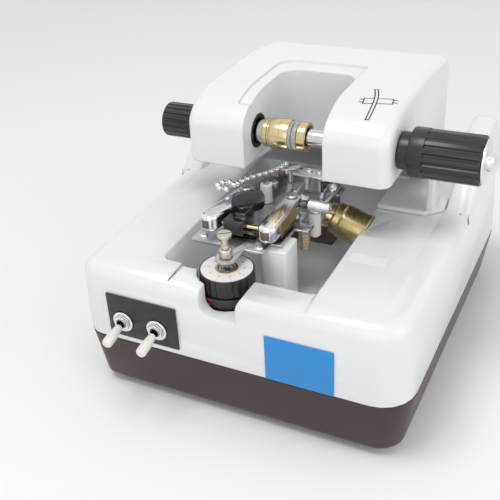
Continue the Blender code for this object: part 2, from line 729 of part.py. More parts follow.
def top_cover(white):
    """Deck, wet trough, dial pocket, slot and ears in one moulding."""
    seam = SEAM_Z + GAP / 2
    pocket = DIAL_RADIUS + POCKET_CLEARANCE
    hollow = raw_object("hollow", loft(cover_levels(COVER_WALL, seam - OVERRUN)))
    for side in (-1, 1):
        combine(hollow, ear(side, COVER_WALL, EAR_SINK), "UNION")
    combine(hollow, loft(trough_levels(COVER_WALL, TROUGH_FLOOR_Z - COVER_WALL,
                                       DECK_Z + OVERRUN)))
    combine(hollow, rod(pocket + COVER_WALL, POCKET_FLOOR_Z - COVER_WALL, DECK_Z,
                        at(DIAL_X, DIAL_Y, 0), TURN_STEPS))
    combine(hollow, prism(slot_outline(COVER_WALL), -DIAL_Y, 0, FACING))
    for x, y in corner_places():
        combine(hollow, rod(POST_RADIUS, seam - OVERRUN, DECK_Z, at(x, y, 0)))
    cover = raw_object("cover", loft(cover_levels(0, seam)))
    for side in (-1, 1):
        combine(cover, ear(side, 0, EAR_SINK), "UNION")
    bm = bmesh.new()
    bm.from_mesh(hollow.data)
    bpy.data.objects.remove(hollow)
    combine(cover, bm)
    for x, y in corner_places():
        combine(cover, rod(POST_RADIUS, tray_floor() + GAP, seam + OVERRUN, at(x, y, 0)), "UNION")
    pan = raw_object("pan", loft(trough_levels(0, TROUGH_FLOOR_Z, DECK_Z + OVERRUN)))
    combine(pan, rod(pocket + COVER_WALL, TROUGH_FLOOR_Z - OVERRUN, POCKET_FLOOR_Z,
                     at(DIAL_X, DIAL_Y, 0), TURN_STEPS))
    for step in range(2):
        combine(pan, rod(DRAIN_RADIUS * (2 - step) / 2, TROUGH_FLOOR_Z - OVERRUN,
                         TROUGH_FLOOR_Z + DRAIN_STEP * (step + 1), at(DRAIN_X, DRAIN_Y, 0)))
    bm = bmesh.new()
    bm.from_mesh(pan.data)
    bpy.data.objects.remove(pan)
    combine(cover, bm)
    pillar = rounded(PILLAR_LEFT, PILLAR_RIGHT, PILLAR_FRONT, PILLAR_REAR, [PILLAR_EDGE] * 4, 2)
    combine(cover, prism(pillar, TROUGH_FLOOR_Z - COVER_WALL / 2, PLATE_Z - GAP), "UNION")
    for lug in deck_lugs():
        combine(cover, lug, "UNION")
    reach = HINGE_X + HINGE_LUG_WIDTH
    combine(cover, rod(HINGE_PIN_RADIUS + GAP, -reach, reach,
                       at(0, HINGE_Y, HINGE_Z) @ ALONG_X, TURN_STEPS))
    combine(cover, block(BRIDGE_LEFT, TROUGH_RIGHT, -OVERRUN, TROUGH_FRONT + OVERRUN,
                         DECK_Z - BRIDGE_DROP, DECK_Z + OVERRUN))
    combine(cover, rod(pocket, POCKET_FLOOR_Z, DECK_Z + OVERRUN, at(DIAL_X, DIAL_Y, 0),
                       TURN_STEPS))
    combine(cover, prism(slot_outline(0), -DIAL_Y, OVERRUN, FACING))
    for x in (LENS_SWITCH_X, WHEEL_SWITCH_X):
        combine(cover, rod(BUSHING_RADIUS + GAP, -OVERRUN, COVER_WALL + OVERRUN,
                           at(x, 0, SWITCH_Z) @ ALONG_Y))
    for x, y in corner_places():
        combine(cover, rod(POST_BORE, 0, FOOT_HEIGHT + BASE_SCREW_LENGTH + OVERRUN, at(x, y, 0)))
    combine(cover, rod(DRUM_END_RADIUS + GAP, COLLAR_START + COLLAR_LENGTH,
                       COLLAR_START + COLLAR_LENGTH + DRUM_LENGTH + GAP,
                       SPINDLE @ ALONG_X, TURN_STEPS))
    combine(cover, rod(SPINDLE_PULLEY_RADIUS + GAP, COLLAR_START + COLLAR_LENGTH + DRUM_LENGTH,
                       PULLEY_START + PULLEY_WIDTH + OVERRUN, SPINDLE @ ALONG_X))
    bm = bmesh.new()
    bm.from_mesh(cover.data)
    bpy.data.objects.remove(cover)
    place("top_cover", closed_mesh(bm), white)


def base_tray(dark):
    """The dark lower half, with a pad at the back for the mains inlet."""
    levels = []
    for step in range(ARC_STEPS - 1):
        angle = math.pi / 2 * step / (ARC_STEPS - 2)
        inset = TRAY_TAPER + TRAY_EDGE * (1 - math.sin(angle))
        rise = FOOT_HEIGHT + TRAY_EDGE * (1 - math.cos(angle))
        levels.append((body_outline(inset, inset), rise))
    levels.append((body_outline(0, 0), SEAM_Z - GAP / 2))
    deep = TRAY_TAPER + TRAY_EDGE
    inside = [(body_outline(deep, deep), tray_floor()),
              (body_outline(TRAY_WALL + TRAY_TAPER, TRAY_WALL + TRAY_TAPER),
               tray_floor() + TRAY_EDGE),
              (body_outline(TRAY_WALL, TRAY_WALL), SEAM_Z),
              (body_outline(TRAY_WALL, TRAY_WALL), SEAM_Z + OVERRUN)]
    flange = INLET_FLANGE + GAP
    pad = block(INLET_X - INLET_WIDTH / 2 - flange, INLET_X + INLET_WIDTH / 2 + flange,
                BODY_DEPTH - TRAY_TAPER - 2 * TRAY_WALL, BODY_DEPTH,
                INLET_Z - INLET_HEIGHT / 2 - flange, INLET_Z + INLET_HEIGHT / 2 + flange)
    opening = block(INLET_X - INLET_WIDTH / 2 - GAP, INLET_X + INLET_WIDTH / 2 + GAP,
                    BODY_DEPTH - TRAY_TAPER - 2 * TRAY_WALL - OVERRUN, BODY_DEPTH + OVERRUN,
                    INLET_Z - INLET_HEIGHT / 2 - GAP, INLET_Z + INLET_HEIGHT / 2 + GAP)
    tray = shaped(loft(levels), [loft(inside)])
    tray = shaped(tray, [opening], [pad, motor_saddle()])
    holes = [rod(BASE_SCREW_SHANK + GAP, 0, tray_floor() + OVERRUN, at(x, y, 0))
             for x, y in corner_places()]
    place("base_tray", shaped(tray, holes), dark)


def rubber_feet(rubber):
    """Four turned feet with a recess for their screw."""
    top = FOOT_HEIGHT - GAP
    for number, (x, y) in enumerate(corner_places(), 1):
        foot = turned([(BASE_SCREW_SHANK + GAP, FOOT_RECESS_DEPTH),
                       (FOOT_RECESS_RADIUS, FOOT_RECESS_DEPTH), (FOOT_RECESS_RADIUS, 0),
                       (FOOT_RADIUS, 0), (FOOT_RADIUS + GAP, top),
                       (BASE_SCREW_SHANK + GAP, top)], at(x, y, 0), SMALL_STEPS + 4)
        place(f"rubber_foot_{number}", foot, rubber)


def rest_bracket(white):
    """A low plate on the right deck with an upright rib at its point."""
    low = DECK_Z + GAP
    top = low + BRACKET_THICKNESS
    left = TROUGH_RIGHT + BRACKET_SIDE_GAP
    right = BODY_WIDTH / 2 - EAR_INSET - EAR_THICKNESS - BRACKET_SIDE_GAP
    outline = [(left, BRACKET_FRONT_Y), (BRACKET_VERTEX_X, BRACKET_FRONT_Y),
               (right, BRACKET_SIDE_Y), (right, BRACKET_REAR_Y), (left, BRACKET_REAR_Y)]
    rib_left = BRACKET_VERTEX_X + GAP
    front = BRACKET_FRONT_Y + RIB_WIDTH / 2
    crest = low + BRACKET_THICKNESS / 2
    rib = prism([(front, crest), (front + RIB_LENGTH, crest),
                 (front + RIB_CREST, top + RIB_HEIGHT), (front + GAP, top + RIB_HEIGHT)],
                rib_left, rib_left + RIB_WIDTH, SIDEWAYS)
    place("rest_bracket", shaped(prism(outline, low, top), (), [rib]), white)


def labels_and_panel(black, blue):
    """The switch panel and the blank front label."""
    back = -GAP
    panel = block(PANEL_LEFT, PANEL_RIGHT, back - PANEL_THICKNESS, back, PANEL_LOW_Z,
                  PANEL_HIGH_Z)
    holes = [rod(BUSHING_RADIUS + GAP, -OVERRUN, OVERRUN, at(x, 0, SWITCH_Z) @ ALONG_Y)
             for x in (LENS_SWITCH_X, WHEEL_SWITCH_X)]
    place("switch_panel", shaped(panel, holes), black)
    place("front_label", block(LABEL_LEFT, LABEL_RIGHT, back - LABEL_THICKNESS, back,
                               LABEL_LOW_Z, LABEL_HIGH_Z), blue)


# Toggle switches

def switch_body(x):
    """A switch body with its threaded bushing and its pins."""
    seat = COVER_WALL + GAP
    rear = seat + SWITCH_BODY_DEPTH
    body = block(x - SWITCH_BODY_WIDTH / 2, x + SWITCH_BODY_WIDTH / 2, seat, rear,
                 SWITCH_Z - SWITCH_BODY_HEIGHT / 2, SWITCH_Z + SWITCH_BODY_HEIGHT / 2)
    neck = rod(BUSHING_RADIUS, -BUSHING_PROUD, seat + GAP, at(x, 0, SWITCH_Z) @ ALONG_Y)
    pins = [block(x - SWITCH_PIN_WIDTH / 2, x + SWITCH_PIN_WIDTH / 2, rear - GAP,
                  rear + SWITCH_PIN_LENGTH,
                  SWITCH_Z + step * SWITCH_PIN_PITCH - SWITCH_PIN_WIDTH / 2,
                  SWITCH_Z + step * SWITCH_PIN_PITCH + SWITCH_PIN_WIDTH / 2)
            for step in (-1, 0, 1)]
    bore = rod(BUSHING_BORE, -BUSHING_PROUD - OVERRUN, LEVER_PIVOT_Y + LEVER_TAIL + OVERRUN,
               at(x, 0, SWITCH_Z) @ ALONG_Y)
    return shaped(body, [bore], [neck] + pins)


def switch_lever(name, x, ivory):
    """A sleeved lever, tilted down to the off side."""
    pivot = (x, LEVER_PIVOT_Y, SWITCH_Z)
    reach = LEVER_LENGTH
    lean = at(*pivot) @ Matrix.Rotation(math.pi / 2 + LEVER_ANGLE, 4, "X")
    profile = [(0, -LEVER_TAIL), (LEVER_ROOT_RADIUS, -LEVER_TAIL),
               (LEVER_ROOT_RADIUS, -LEVER_BALL_RADIUS / 2), (LEVER_BALL_RADIUS, 0),
               (LEVER_ROOT_RADIUS, LEVER_BALL_RADIUS / 2),
               (LEVER_ROOT_RADIUS, LEVER_SLEEVE_START),
               (LEVER_NECK_RADIUS, LEVER_SLEEVE_START),
               (LEVER_TIP_RADIUS, reach * 0.6), (LEVER_TIP_RADIUS, reach * 0.9),
               (LEVER_TIP_RADIUS * 0.7, reach * 0.975), (0, reach)]
    place(name, turned(profile, lean, SMALL_STEPS), ivory, pivot,
          Matrix.Rotation(LEVER_ANGLE, 4, "X"))


def switch_nut(name, x, chrome_metal):
    """A lock washer and a hexagon nut in one, on the bushing."""
    front = -GAP - PANEL_THICKNESS - GAP
    rear = front - WASHER_THICKNESS
    frame = at(x, 0, SWITCH_Z) @ ALONG_Y
    washer = rod(WASHER_RADIUS, rear, front, frame, TURN_STEPS)
    nut = rod(NUT_RADIUS, rear - NUT_THICKNESS, front - GAP, frame, 6)
    bore = rod(BUSHING_RADIUS + GAP, rear - NUT_THICKNESS - OVERRUN, front + OVERRUN, frame)
    place(name, shaped(washer, [bore], [nut]), chrome_metal)


# Depth dial

def depth_dial(black, white, steel):
    """A fluted knob over a fixed barrel, with a scale disc and a lift pin inside."""
    axis = at(DIAL_X, DIAL_Y, 0)
    top = DECK_Z
    seat = top - SCALE_THICKNESS - GAP
    bore = LIFT_PIN_RADIUS + GAP
    low = DIAL_LOW_Z
    profile = [(bore, low - DIAL_STEM_LENGTH), (DIAL_STEM_RADIUS, low - DIAL_STEM_LENGTH),
               (DIAL_STEM_RADIUS, low), (DIAL_RADIUS - DIAL_CHAMFER, low),
               (DIAL_RADIUS, low + DIAL_CHAMFER), (DIAL_RADIUS, top - DIAL_CHAMFER),
               (DIAL_RADIUS - DIAL_CHAMFER / 2, top), (SCALE_RADIUS + GAP, top),
               (SCALE_RADIUS + GAP, seat), (bore, seat)]
    flutes = (DIAL_FLUTE_DEPTH, low + DIAL_CHAMFER, top - DIAL_CHAMFER)
    place("depth_dial", turned(profile, axis, 2 * DIAL_FLUTES, flutes), black,
          (DIAL_X, DIAL_Y, low))
    place("dial_scale", tube(bore, SCALE_RADIUS, seat + GAP, top, axis, TURN_STEPS), white,
          (DIAL_X, DIAL_Y, low))
    barrel_low = POCKET_FLOOR_Z + GAP
    barrel = turned([(0, barrel_low), (BARREL_RADIUS, barrel_low),
                     (BARREL_RADIUS, low - GAP), (BARREL_BORE, low - GAP),
                     (BARREL_BORE, barrel_low + BARREL_FLOOR), (0, barrel_low + BARREL_FLOOR)],
                    axis, TURN_STEPS)
    place("dial_barrel", barrel, black)
    pin_top = top - GAP
    pin = turned([(0, pin_top - LIFT_PIN_LENGTH), (LIFT_PIN_RADIUS, pin_top - LIFT_PIN_LENGTH),
                  (LIFT_PIN_RADIUS, pin_top), (LIFT_PIN_RADIUS * 0.75, pin_top),
                  (LIFT_PIN_RADIUS * 0.7, pin_top - LIFT_PIN_DISH),
                  (0, pin_top - LIFT_PIN_DISH)], axis, SMALL_STEPS + 4)
    place("lift_pin", pin, steel, (DIAL_X, DIAL_Y, pin_top))


# Guide carriage

def guide_plate(steel):
    """The thin plate that carries both arms, its tongue, its side tab and its hinge knuckle."""
    tongue = arc(DIAL_X, DIAL_Y, TONGUE_RADIUS, 180, 360, 2 * ARC_STEPS)
    neck = CARRIAGE_PIVOT_Y - STAND_HALF_DEPTH - PLATE_NECK_GAP
    end = CARRIAGE_PIVOT_Y - (KNUCKLE_RADIUS + CARRIAGE_PIN_RADIUS) / 2
    outline = ([(PLATE_LEFT, PLATE_FRONT), (DIAL_X - TONGUE_RADIUS, PLATE_FRONT)] + tongue
               + [(DIAL_X + TONGUE_RADIUS, PLATE_FRONT), (PLATE_RIGHT, PLATE_FRONT),
                  (PLATE_RIGHT, PLATE_SHOULDER_Y), (PLATE_SIDE_X, PLATE_SHOULDER_Y),
                  (PLATE_SIDE_X, PLATE_TAB_FRONT), (PLATE_TAB_X, PLATE_TAB_FRONT),
                  (PLATE_TAB_X, PLATE_TAB_REAR), (PLATE_SIDE_X, PLATE_TAB_REAR),
                  (PLATE_SIDE_X, PLATE_WHEEL_FRONT), (PLATE_WAIST_X, PLATE_WHEEL_FRONT),
                  (PLATE_WAIST_X, PLATE_WHEEL_REAR), (PLATE_TAIL_X, PLATE_WHEEL_REAR),
                  (PLATE_TAIL_X, neck), (KNUCKLE_RIGHT, neck), (KNUCKLE_RIGHT, end),
                  (KNUCKLE_LEFT, end), (KNUCKLE_LEFT, neck), (PLATE_LEFT_REAR_X, neck),
                  (PLATE_LEFT, PLATE_WHEEL_FRONT)])
    plate = prism(outline, PLATE_Z, PLATE_Z + PLATE_THICKNESS)
    pivot_z = PLATE_Z + PLATE_THICKNESS / 2
    line = at(0, CARRIAGE_PIVOT_Y, pivot_z) @ ALONG_X
    knuckle = rod(KNUCKLE_RADIUS, KNUCKLE_LEFT, KNUCKLE_RIGHT, line)
    holes = [rod(CARRIAGE_PIN_RADIUS + GAP, KNUCKLE_LEFT - OVERRUN, KNUCKLE_RIGHT + OVERRUN,
                 line)]
    holes.append(rod(SCREW_THREAD_RADIUS + GAP, PLATE_Z - OVERRUN, PLATE_Z + OVERRUN,
                     at(DIAL_X, DIAL_Y, 0)))
    plate = shaped(plate, holes, [knuckle])
    studs = pivot_studs() + [left_roller_stud(), bush_post()]
    place("guide_plate", shaped(plate, (), studs), steel, (0, CARRIAGE_PIVOT_Y, pivot_z))


def carriage_stand(steel):
    """A fork on the trough floor, riveted to the pin that carries the guide plate."""
    pivot_z = PLATE_Z + PLATE_THICKNESS / 2
    low = TROUGH_FLOOR_Z + GAP
    left = KNUCKLE_LEFT - 2 * GAP - STAND_CHEEK
    right = KNUCKLE_RIGHT + 2 * GAP + STAND_CHEEK
    rear = CARRIAGE_PIVOT_Y + STAND_HALF_DEPTH
    front = CARRIAGE_PIVOT_Y - STAND_HALF_DEPTH
    base = block(left, right, front, rear, low, low + STAND_BASE_THICKNESS)
    cheek = [(front, low), (rear, low)] + arc(CARRIAGE_PIVOT_Y, pivot_z, KNUCKLE_RADIUS, 0, 180)
    cheeks = [prism(cheek, left, left + STAND_CHEEK, SIDEWAYS),
              prism(cheek, right - STAND_CHEEK, right, SIDEWAYS)]
    line = at(0, CARRIAGE_PIVOT_Y, pivot_z) @ ALONG_X
    pin = rod(CARRIAGE_PIN_RADIUS, left - CARRIAGE_PIN_RADIUS / 2,
              right + CARRIAGE_PIN_RADIUS / 2, line)
    place("carriage_stand", shaped(base, (), cheeks + [pin]), steel)


def depth_screw(chrome_metal):
    """The slotted screw on the plate's tongue, its tip in the lift pin's dish, and its nut."""
    axis = at(DIAL_X, DIAL_Y, 0)
    tip = DECK_Z - LIFT_PIN_DISH
    plate_top = PLATE_Z + PLATE_THICKNESS
    nut_low = plate_top + GAP
    nut_top = nut_low + LOCK_NUT_HEIGHT
    shoulder = nut_top + GAP
    head = SCREW_TOP_Z - SCREW_HEAD_HEIGHT
    profile = [(0, tip), (SCREW_TIP_RADIUS, tip), (SCREW_TIP_RADIUS, PLATE_Z - GAP),
               (SCREW_THREAD_RADIUS, PLATE_Z - GAP), (SCREW_THREAD_RADIUS, shoulder),
               (SCREW_NECK_RADIUS, shoulder), (SCREW_NECK_RADIUS, head),
               (SCREW_HEAD_RADIUS, head), (SCREW_HEAD_RADIUS, SCREW_TOP_Z), (0, SCREW_TOP_Z)]
    slot = block(DIAL_X - SCREW_HEAD_RADIUS - OVERRUN, DIAL_X + SCREW_HEAD_RADIUS + OVERRUN,
                 DIAL_Y - SCREW_TIP_RADIUS / 3, DIAL_Y + SCREW_TIP_RADIUS / 3,
                 SCREW_TOP_Z - SCREW_HEAD_HEIGHT / 2, SCREW_TOP_Z + OVERRUN)
    place("depth_screw", shaped(turned(profile, axis, SMALL_STEPS + 4), [slot]), chrome_metal,
          (DIAL_X, DIAL_Y, shoulder))
    nut = turned([(SCREW_THREAD_RADIUS + GAP, nut_low), (LOCK_NUT_RADIUS, nut_low),
                  (LOCK_NUT_RADIUS, nut_top - SCREW_THREAD_RADIUS / 2),
                  (SCREW_NECK_RADIUS + GAP, nut_top), (SCREW_THREAD_RADIUS + GAP, nut_top)],
                 axis, SMALL_STEPS)
    place("lock_nut", nut, chrome_metal, (DIAL_X, DIAL_Y, nut_low))


def bush_post():
    """A grooved bush pressed in the plate's side tab."""
    top = PLATE_Z + PLATE_THICKNESS / 2
    low = PLATE_Z - BUSH_POST_LENGTH
    radius = BUSH_POST_RADIUS
    waist = top - BUSH_POST_LENGTH / 3
    y = (PLATE_TAB_FRONT + PLATE_TAB_REAR) / 2
    profile = [(0, low), (radius, low), (radius, waist - BUSH_POST_GROOVE),
               (radius - BUSH_POST_GROOVE, waist - BUSH_POST_GROOVE),
               (radius - BUSH_POST_GROOVE, waist + BUSH_POST_GROOVE),
               (radius, waist + BUSH_POST_GROOVE), (radius, top), (0, top)]
    return turned(profile, at(BUSH_POST_X, y, 0), SMALL_STEPS + 4)


# Guide arms

def arm_frame(side):
    """The frame of an arm: its pivot, with the arm reaching towards local -Y."""
    if side > 0:
        return at(RIGHT_ARM_X, ARM_PIVOT_Y, 0)
    return at(LEFT_ARM_X, ARM_PIVOT_Y, 0) @ Matrix.Rotation(LEFT_ARM_TURN, 4, "Z")


def guide_arm(name, side, chrome_metal):
    """A round-ended arm with rounded rims, bored for its pivot screw."""
    half = ARM_HALF_WIDTH
    outline = (arc(0, 0, half, 0, 180) + arc(0, -ARM_REACH, half, 180, 360, 2 * ARC_STEPS))
    bm = prism(outline, ARM_LOW_Z, ARM_TOP_Z)
    rims = [edge for edge in bm.edges if abs(edge.calc_face_angle(0) - math.pi / 2) < MERGE * 1000]
    bmesh.ops.bevel(bm, geom=rims, offset=ARM_EDGE, segments=2, profile=0.5, affect="EDGES")
    frame = arm_frame(side)
    hole = rod(PIVOT_SCREW_RADIUS + GAP, ARM_LOW_Z - OVERRUN, ARM_TOP_Z + OVERRUN)
    arm = shaped(bm, [hole])
    arm.transform(frame)
    if side > 0:
        line = at(0, ARM_PIVOT_Y, THUMB_Z) @ ALONG_X
        arm = shaped(arm, [rod(THUMB_SHANK_RADIUS + GAP, RIGHT_ARM_X + half - THUMB_SHANK_DEPTH,
                               RIGHT_ARM_X + half + OVERRUN, line)])
    else:
        line = at(0, ROD_Y, ROD_Z) @ ALONG_X
        arm = shaped(arm, [rod(ROD_RADIUS + GAP, ROD_LEFT, CLIP_RIGHT, line)])
    pivot = frame.translation.copy()
    pivot.z = ARM_LOW_Z
    place(name, arm, chrome_metal, pivot)


def cross_rod(brass):
    """The rod from the left arm, on which the clip hangs."""
    line = at(0, ROD_Y, ROD_Z) @ ALONG_X
    place("cross_rod", rod(ROD_RADIUS, ROD_LEFT + GAP, ROD_RIGHT, line), brass,
          (LEFT_ARM_X, ARM_PIVOT_Y, ARM_LOW_Z))


def pivot_studs():
    """The headed studs on which the two arms turn, each with its boss under the arm."""
    seat = ARM_TOP_Z + GAP
    head = PIVOT_SCREW_HEAD_HEIGHT
    return [turned([(0, PLATE_Z + PLATE_THICKNESS / 2),
                    (ARM_BOSS_RADIUS, PLATE_Z + PLATE_THICKNESS / 2),
                    (ARM_BOSS_RADIUS, ARM_LOW_Z - GAP), (PIVOT_SCREW_RADIUS, ARM_LOW_Z - GAP),
                    (PIVOT_SCREW_RADIUS, seat), (PIVOT_SCREW_HEAD, seat),
                    (PIVOT_SCREW_HEAD, seat + head / 2), (PIVOT_SCREW_HEAD * 0.6, seat + head),
                    (0, seat + head)], at(x, ARM_PIVOT_Y, 0), SMALL_STEPS)
            for x in (RIGHT_ARM_X, LEFT_ARM_X)]


def thumb_screw(silver, black):
    """A knurled screw in the right arm's side with a spring under its head."""
    line = at(0, ARM_PIVOT_Y, THUMB_Z) @ ALONG_X
    face = RIGHT_ARM_X + ARM_HALF_WIDTH
    tip = face - THUMB_SHANK_DEPTH + GAP
    radius = THUMB_RADIUS
    profile = [(0, tip), (THUMB_SHANK_RADIUS, tip), (THUMB_SHANK_RADIUS, THUMB_START_X),
               (radius * 0.85, THUMB_START_X), (radius, THUMB_START_X + radius * 0.15),
               (radius, THUMB_END_X - radius * 0.2), (radius * 0.8, THUMB_END_X),
               (0, THUMB_END_X)]
    place("thumb_screw", turned(profile, line, SMALL_STEPS + 4), silver,
          (THUMB_END_X, ARM_PIVOT_Y, THUMB_Z))
    start = face + GAP + SPRING_WIRE
    end = THUMB_START_X - GAP - SPRING_WIRE
    count = SPRING_TURNS * SPRING_POINTS_PER_TURN
    points = []
    for step in range(count + 1):
        angle = 2 * math.pi * step / SPRING_POINTS_PER_TURN
        points.append(Vector((start + (end - start) * step / count,
                              ARM_PIVOT_Y + SPRING_RADIUS * math.cos(angle),
                              THUMB_Z + SPRING_RADIUS * math.sin(angle))))
    reach = min((first - second).length for place_in_row, first in enumerate(points)
                for second in points[place_in_row + SPRING_POINTS_PER_TURN // 2:])
    print("spring's least gap between turns, mm:", round(1000 * (reach - 2 * SPRING_WIRE), 2))
    place("thumb_spring", swept(points, [SPRING_WIRE] * len(points), SPRING_SIDES), black,
          (face, ARM_PIVOT_Y, THUMB_Z))


def sponge_clip(black):
    """A clip hung on the cross rod: a block, a jaw behind it and an upright paddle."""
    low = CLIP_LOW_Z
    line = at(0, ROD_Y, ROD_Z) @ ALONG_X
    body = block(CLIP_LEFT, CLIP_RIGHT, ROD_Y - CLIP_HALF_DEPTH, ROD_Y + CLIP_HALF_DEPTH,
                 low, CLIP_TOP_Z)
    paddle = prism(rounded(-PADDLE_WIDTH / 2, PADDLE_WIDTH / 2, PADDLE_LOW_Z, PADDLE_TOP_Z,
                           [PADDLE_THICKNESS] * 4, 2),
                   -PADDLE_THICKNESS / 2, PADDLE_THICKNESS / 2,
                   at(PADDLE_X, PADDLE_Y, 0) @ Matrix.Rotation(PADDLE_TURN, 4, "Z") @ FACING)
    jaw = block(CLIP_RIGHT - JAW_WIDTH, CLIP_RIGHT, ROD_Y, ROD_Y + JAW_LENGTH, low + GAP,
                CLIP_TOP_Z - GAP)
    web = block(PADDLE_X - JAW_WIDTH / 2, PADDLE_X + JAW_WIDTH / 2, ROD_Y, PADDLE_Y, low + 2 * GAP,
                PADDLE_LOW_Z + PADDLE_THICKNESS)
    hole = rod(ROD_RADIUS + GAP, CLIP_LEFT - OVERRUN, CLIP_RIGHT + OVERRUN, line)
    place("sponge_clip", shaped(body, [hole], [jaw, web, paddle]), black, (PADDLE_X, ROD_Y, ROD_Z))


# Rollers, strip, guard and chain

def roller_places():
    """Each roller's side, place, lower end and length."""
    plate_top = PLATE_Z + PLATE_THICKNESS
    return [("left", LEFT_ROLLER_X, LEFT_ROLLER_Y, plate_top + GAP, LEFT_ROLLER_LENGTH),
            ("right", RIGHT_ROLLER_X, RIGHT_ROLLER_Y, STRIP_Z - GAP - RIGHT_ROLLER_LENGTH,
             RIGHT_ROLLER_LENGTH)]


def rollers(nylon):
    """The two nylon guide rollers."""
    for side, x, y, low, length in roller_places():
        bm = tube(ROLLER_PIN_RADIUS + GAP, ROLLER_RADIUS, low, low + length, at(x, y, 0),
                  SMALL_STEPS + 4)
        place(side + "_nylon_roller", bm, nylon, (x, y, low))


def left_roller_stud():
    """The headed stud in the plate on which the left roller turns."""
    side, x, y, low, length = roller_places()[0]
    top = low + length + GAP
    foot = PLATE_Z + PLATE_THICKNESS / 2
    return turned([(0, foot), (ROLLER_PIN_RADIUS, foot), (ROLLER_PIN_RADIUS, top),
                   (ROLLER_PIN_HEAD, top), (ROLLER_PIN_HEAD, top + ROLLER_PIN_HEAD_HEIGHT),
                   (0, top + ROLLER_PIN_HEAD_HEIGHT)], at(x, y, 0), SMALL_STEPS)


def right_roller_stud():
    """The headed stud under the strip on which the right roller turns."""
    side, x, y, low, length = roller_places()[1]
    foot = low - GAP - ROLLER_PIN_HEAD_HEIGHT
    top = STRIP_Z + STRIP_THICKNESS + ROLLER_PIN_HEAD_HEIGHT / 2
    return turned([(0, foot), (ROLLER_PIN_HEAD, foot), (ROLLER_PIN_HEAD, low - GAP),
                   (ROLLER_PIN_RADIUS, low - GAP), (ROLLER_PIN_RADIUS, top), (0, top)],
                  at(x, y, 0), SMALL_STEPS)


def roller_strip(chrome_metal):
    """The strip that carries the right roller on its stud, with its spacer block."""
    plate_top = PLATE_Z + PLATE_THICKNESS
    half = STRIP_HALF_WIDTH
    outline = (arc(RIGHT_ROLLER_X, RIGHT_ROLLER_Y, half, 180, 360)
               + [(RIGHT_ROLLER_X + half, STRIP_END_Y), (RIGHT_ROLLER_X - half, STRIP_END_Y)])
    spacer = block(RIGHT_ROLLER_X - half, RIGHT_ROLLER_X + half,
                   PLATE_WHEEL_REAR + GAP, STRIP_END_Y, plate_top + GAP, STRIP_Z + GAP)
    strip = prism(outline, STRIP_Z, STRIP_Z + STRIP_THICKNESS)
    place("roller_strip", shaped(strip, (), [spacer, right_roller_stud()]), chrome_metal,
          (0, CARRIAGE_PIVOT_Y, PLATE_Z))


def wheel_guard(chrome_metal):
    """A chrome tab on a block behind the grooving wheel."""
    plate_top = PLATE_Z + PLATE_THICKNESS
    low = plate_top + GAP
    top = low + GUARD_HEIGHT
    body = prism(rounded(GUARD_LEFT, GUARD_RIGHT, GUARD_FRONT + GAP, GUARD_REAR,
                         [GUARD_CORNER] * 4, 2), low, top)
    seat = top - GAP
    tab = prism(rounded(GUARD_LEFT - GUARD_PLATE, GUARD_RIGHT + GUARD_PLATE,
                        GUARD_FRONT - GUARD_PLATE, GUARD_REAR, [GUARD_CORNER] * 4, 2),
                seat, seat + GUARD_PLATE)
    place("wheel_guard", shaped(body, (), [tab]), chrome_metal,
          (0, CARRIAGE_PIVOT_Y, PLATE_Z))


def chain_route():
    """Centres of the beads, from the anchor plate to a curled end over the left arm."""
    chain_z = PLATE_Z + PLATE_THICKNESS + GAP + ANCHOR_HEIGHT + ANCHOR_THICKNESS + GAP
    rest_z = ARM_TOP_Z + GAP + BEAD_RADIUS
    start = Vector((ANCHOR_X - ANCHOR_RADIUS / 2, ANCHOR_Y - ANCHOR_RADIUS / 2,
                    chain_z + BEAD_RADIUS))
    centre = Vector((CHAIN_LOOP_X, CHAIN_LOOP_Y, rest_z))
    join_angle = math.radians(20)
    join = centre + CHAIN_LOOP_RADIUS * Vector((math.cos(join_angle), math.sin(join_angle), 0))
    straight = (join - start).length
    points = []
    walked = 0.0
    while walked < straight:
        points.append(start.lerp(join, walked / straight))
        walked += BEAD_PITCH
    turn = join_angle + (walked - straight) / CHAIN_LOOP_RADIUS
    last = join_angle + 2 * math.pi - BEAD_PITCH * 1.3 / CHAIN_LOOP_RADIUS
    while turn < last:
        points.append(centre + CHAIN_LOOP_RADIUS * Vector((math.cos(turn), math.sin(turn), 0)))
        turn += BEAD_PITCH / CHAIN_LOOP_RADIUS
    return points


def bead_chain(chrome_metal, pale_metal):
    """The oval anchor plate on its stem, and the ball chain that starts on it."""
    low = PLATE_Z + PLATE_THICKNESS + GAP
    seat = low + ANCHOR_HEIGHT
    turn = at(ANCHOR_X, ANCHOR_Y, 0) @ Matrix.Rotation(PADDLE_TURN, 4, "Z")
    oval = prism(arc(0, 0, ANCHOR_RADIUS * ANCHOR_STRETCH, 0, 330, 11, 1 / ANCHOR_STRETCH),
                 seat, seat + ANCHOR_THICKNESS, turn)
    stem = rod(ANCHOR_STEM, low, seat + ANCHOR_THICKNESS / 2, turn)
    place("chain_anchor", shaped(oval, (), [stem]), pale_metal, (0, CARRIAGE_PIVOT_Y, PLATE_Z))
    centres = chain_route()
    points = []
    radii = []
    for index, centre in enumerate(centres):
        ahead = centres[min(index + 1, len(centres) - 1)]
        behind = centres[max(index - 1, 0)]
        along = (ahead - behind).normalized()
        for share in (-0.95, -0.65, 0, 0.65, 0.95):
            points.append(centre + along * share * BEAD_RADIUS)
            radii.append(max(LINK_RADIUS, BEAD_RADIUS * math.sqrt(1 - share * share)))
    place("bead_chain", swept(points, radii, CHAIN_SIDES), chrome_metal,
          (0, CARRIAGE_PIVOT_Y, PLATE_Z))


# Grooving spindle and its drive

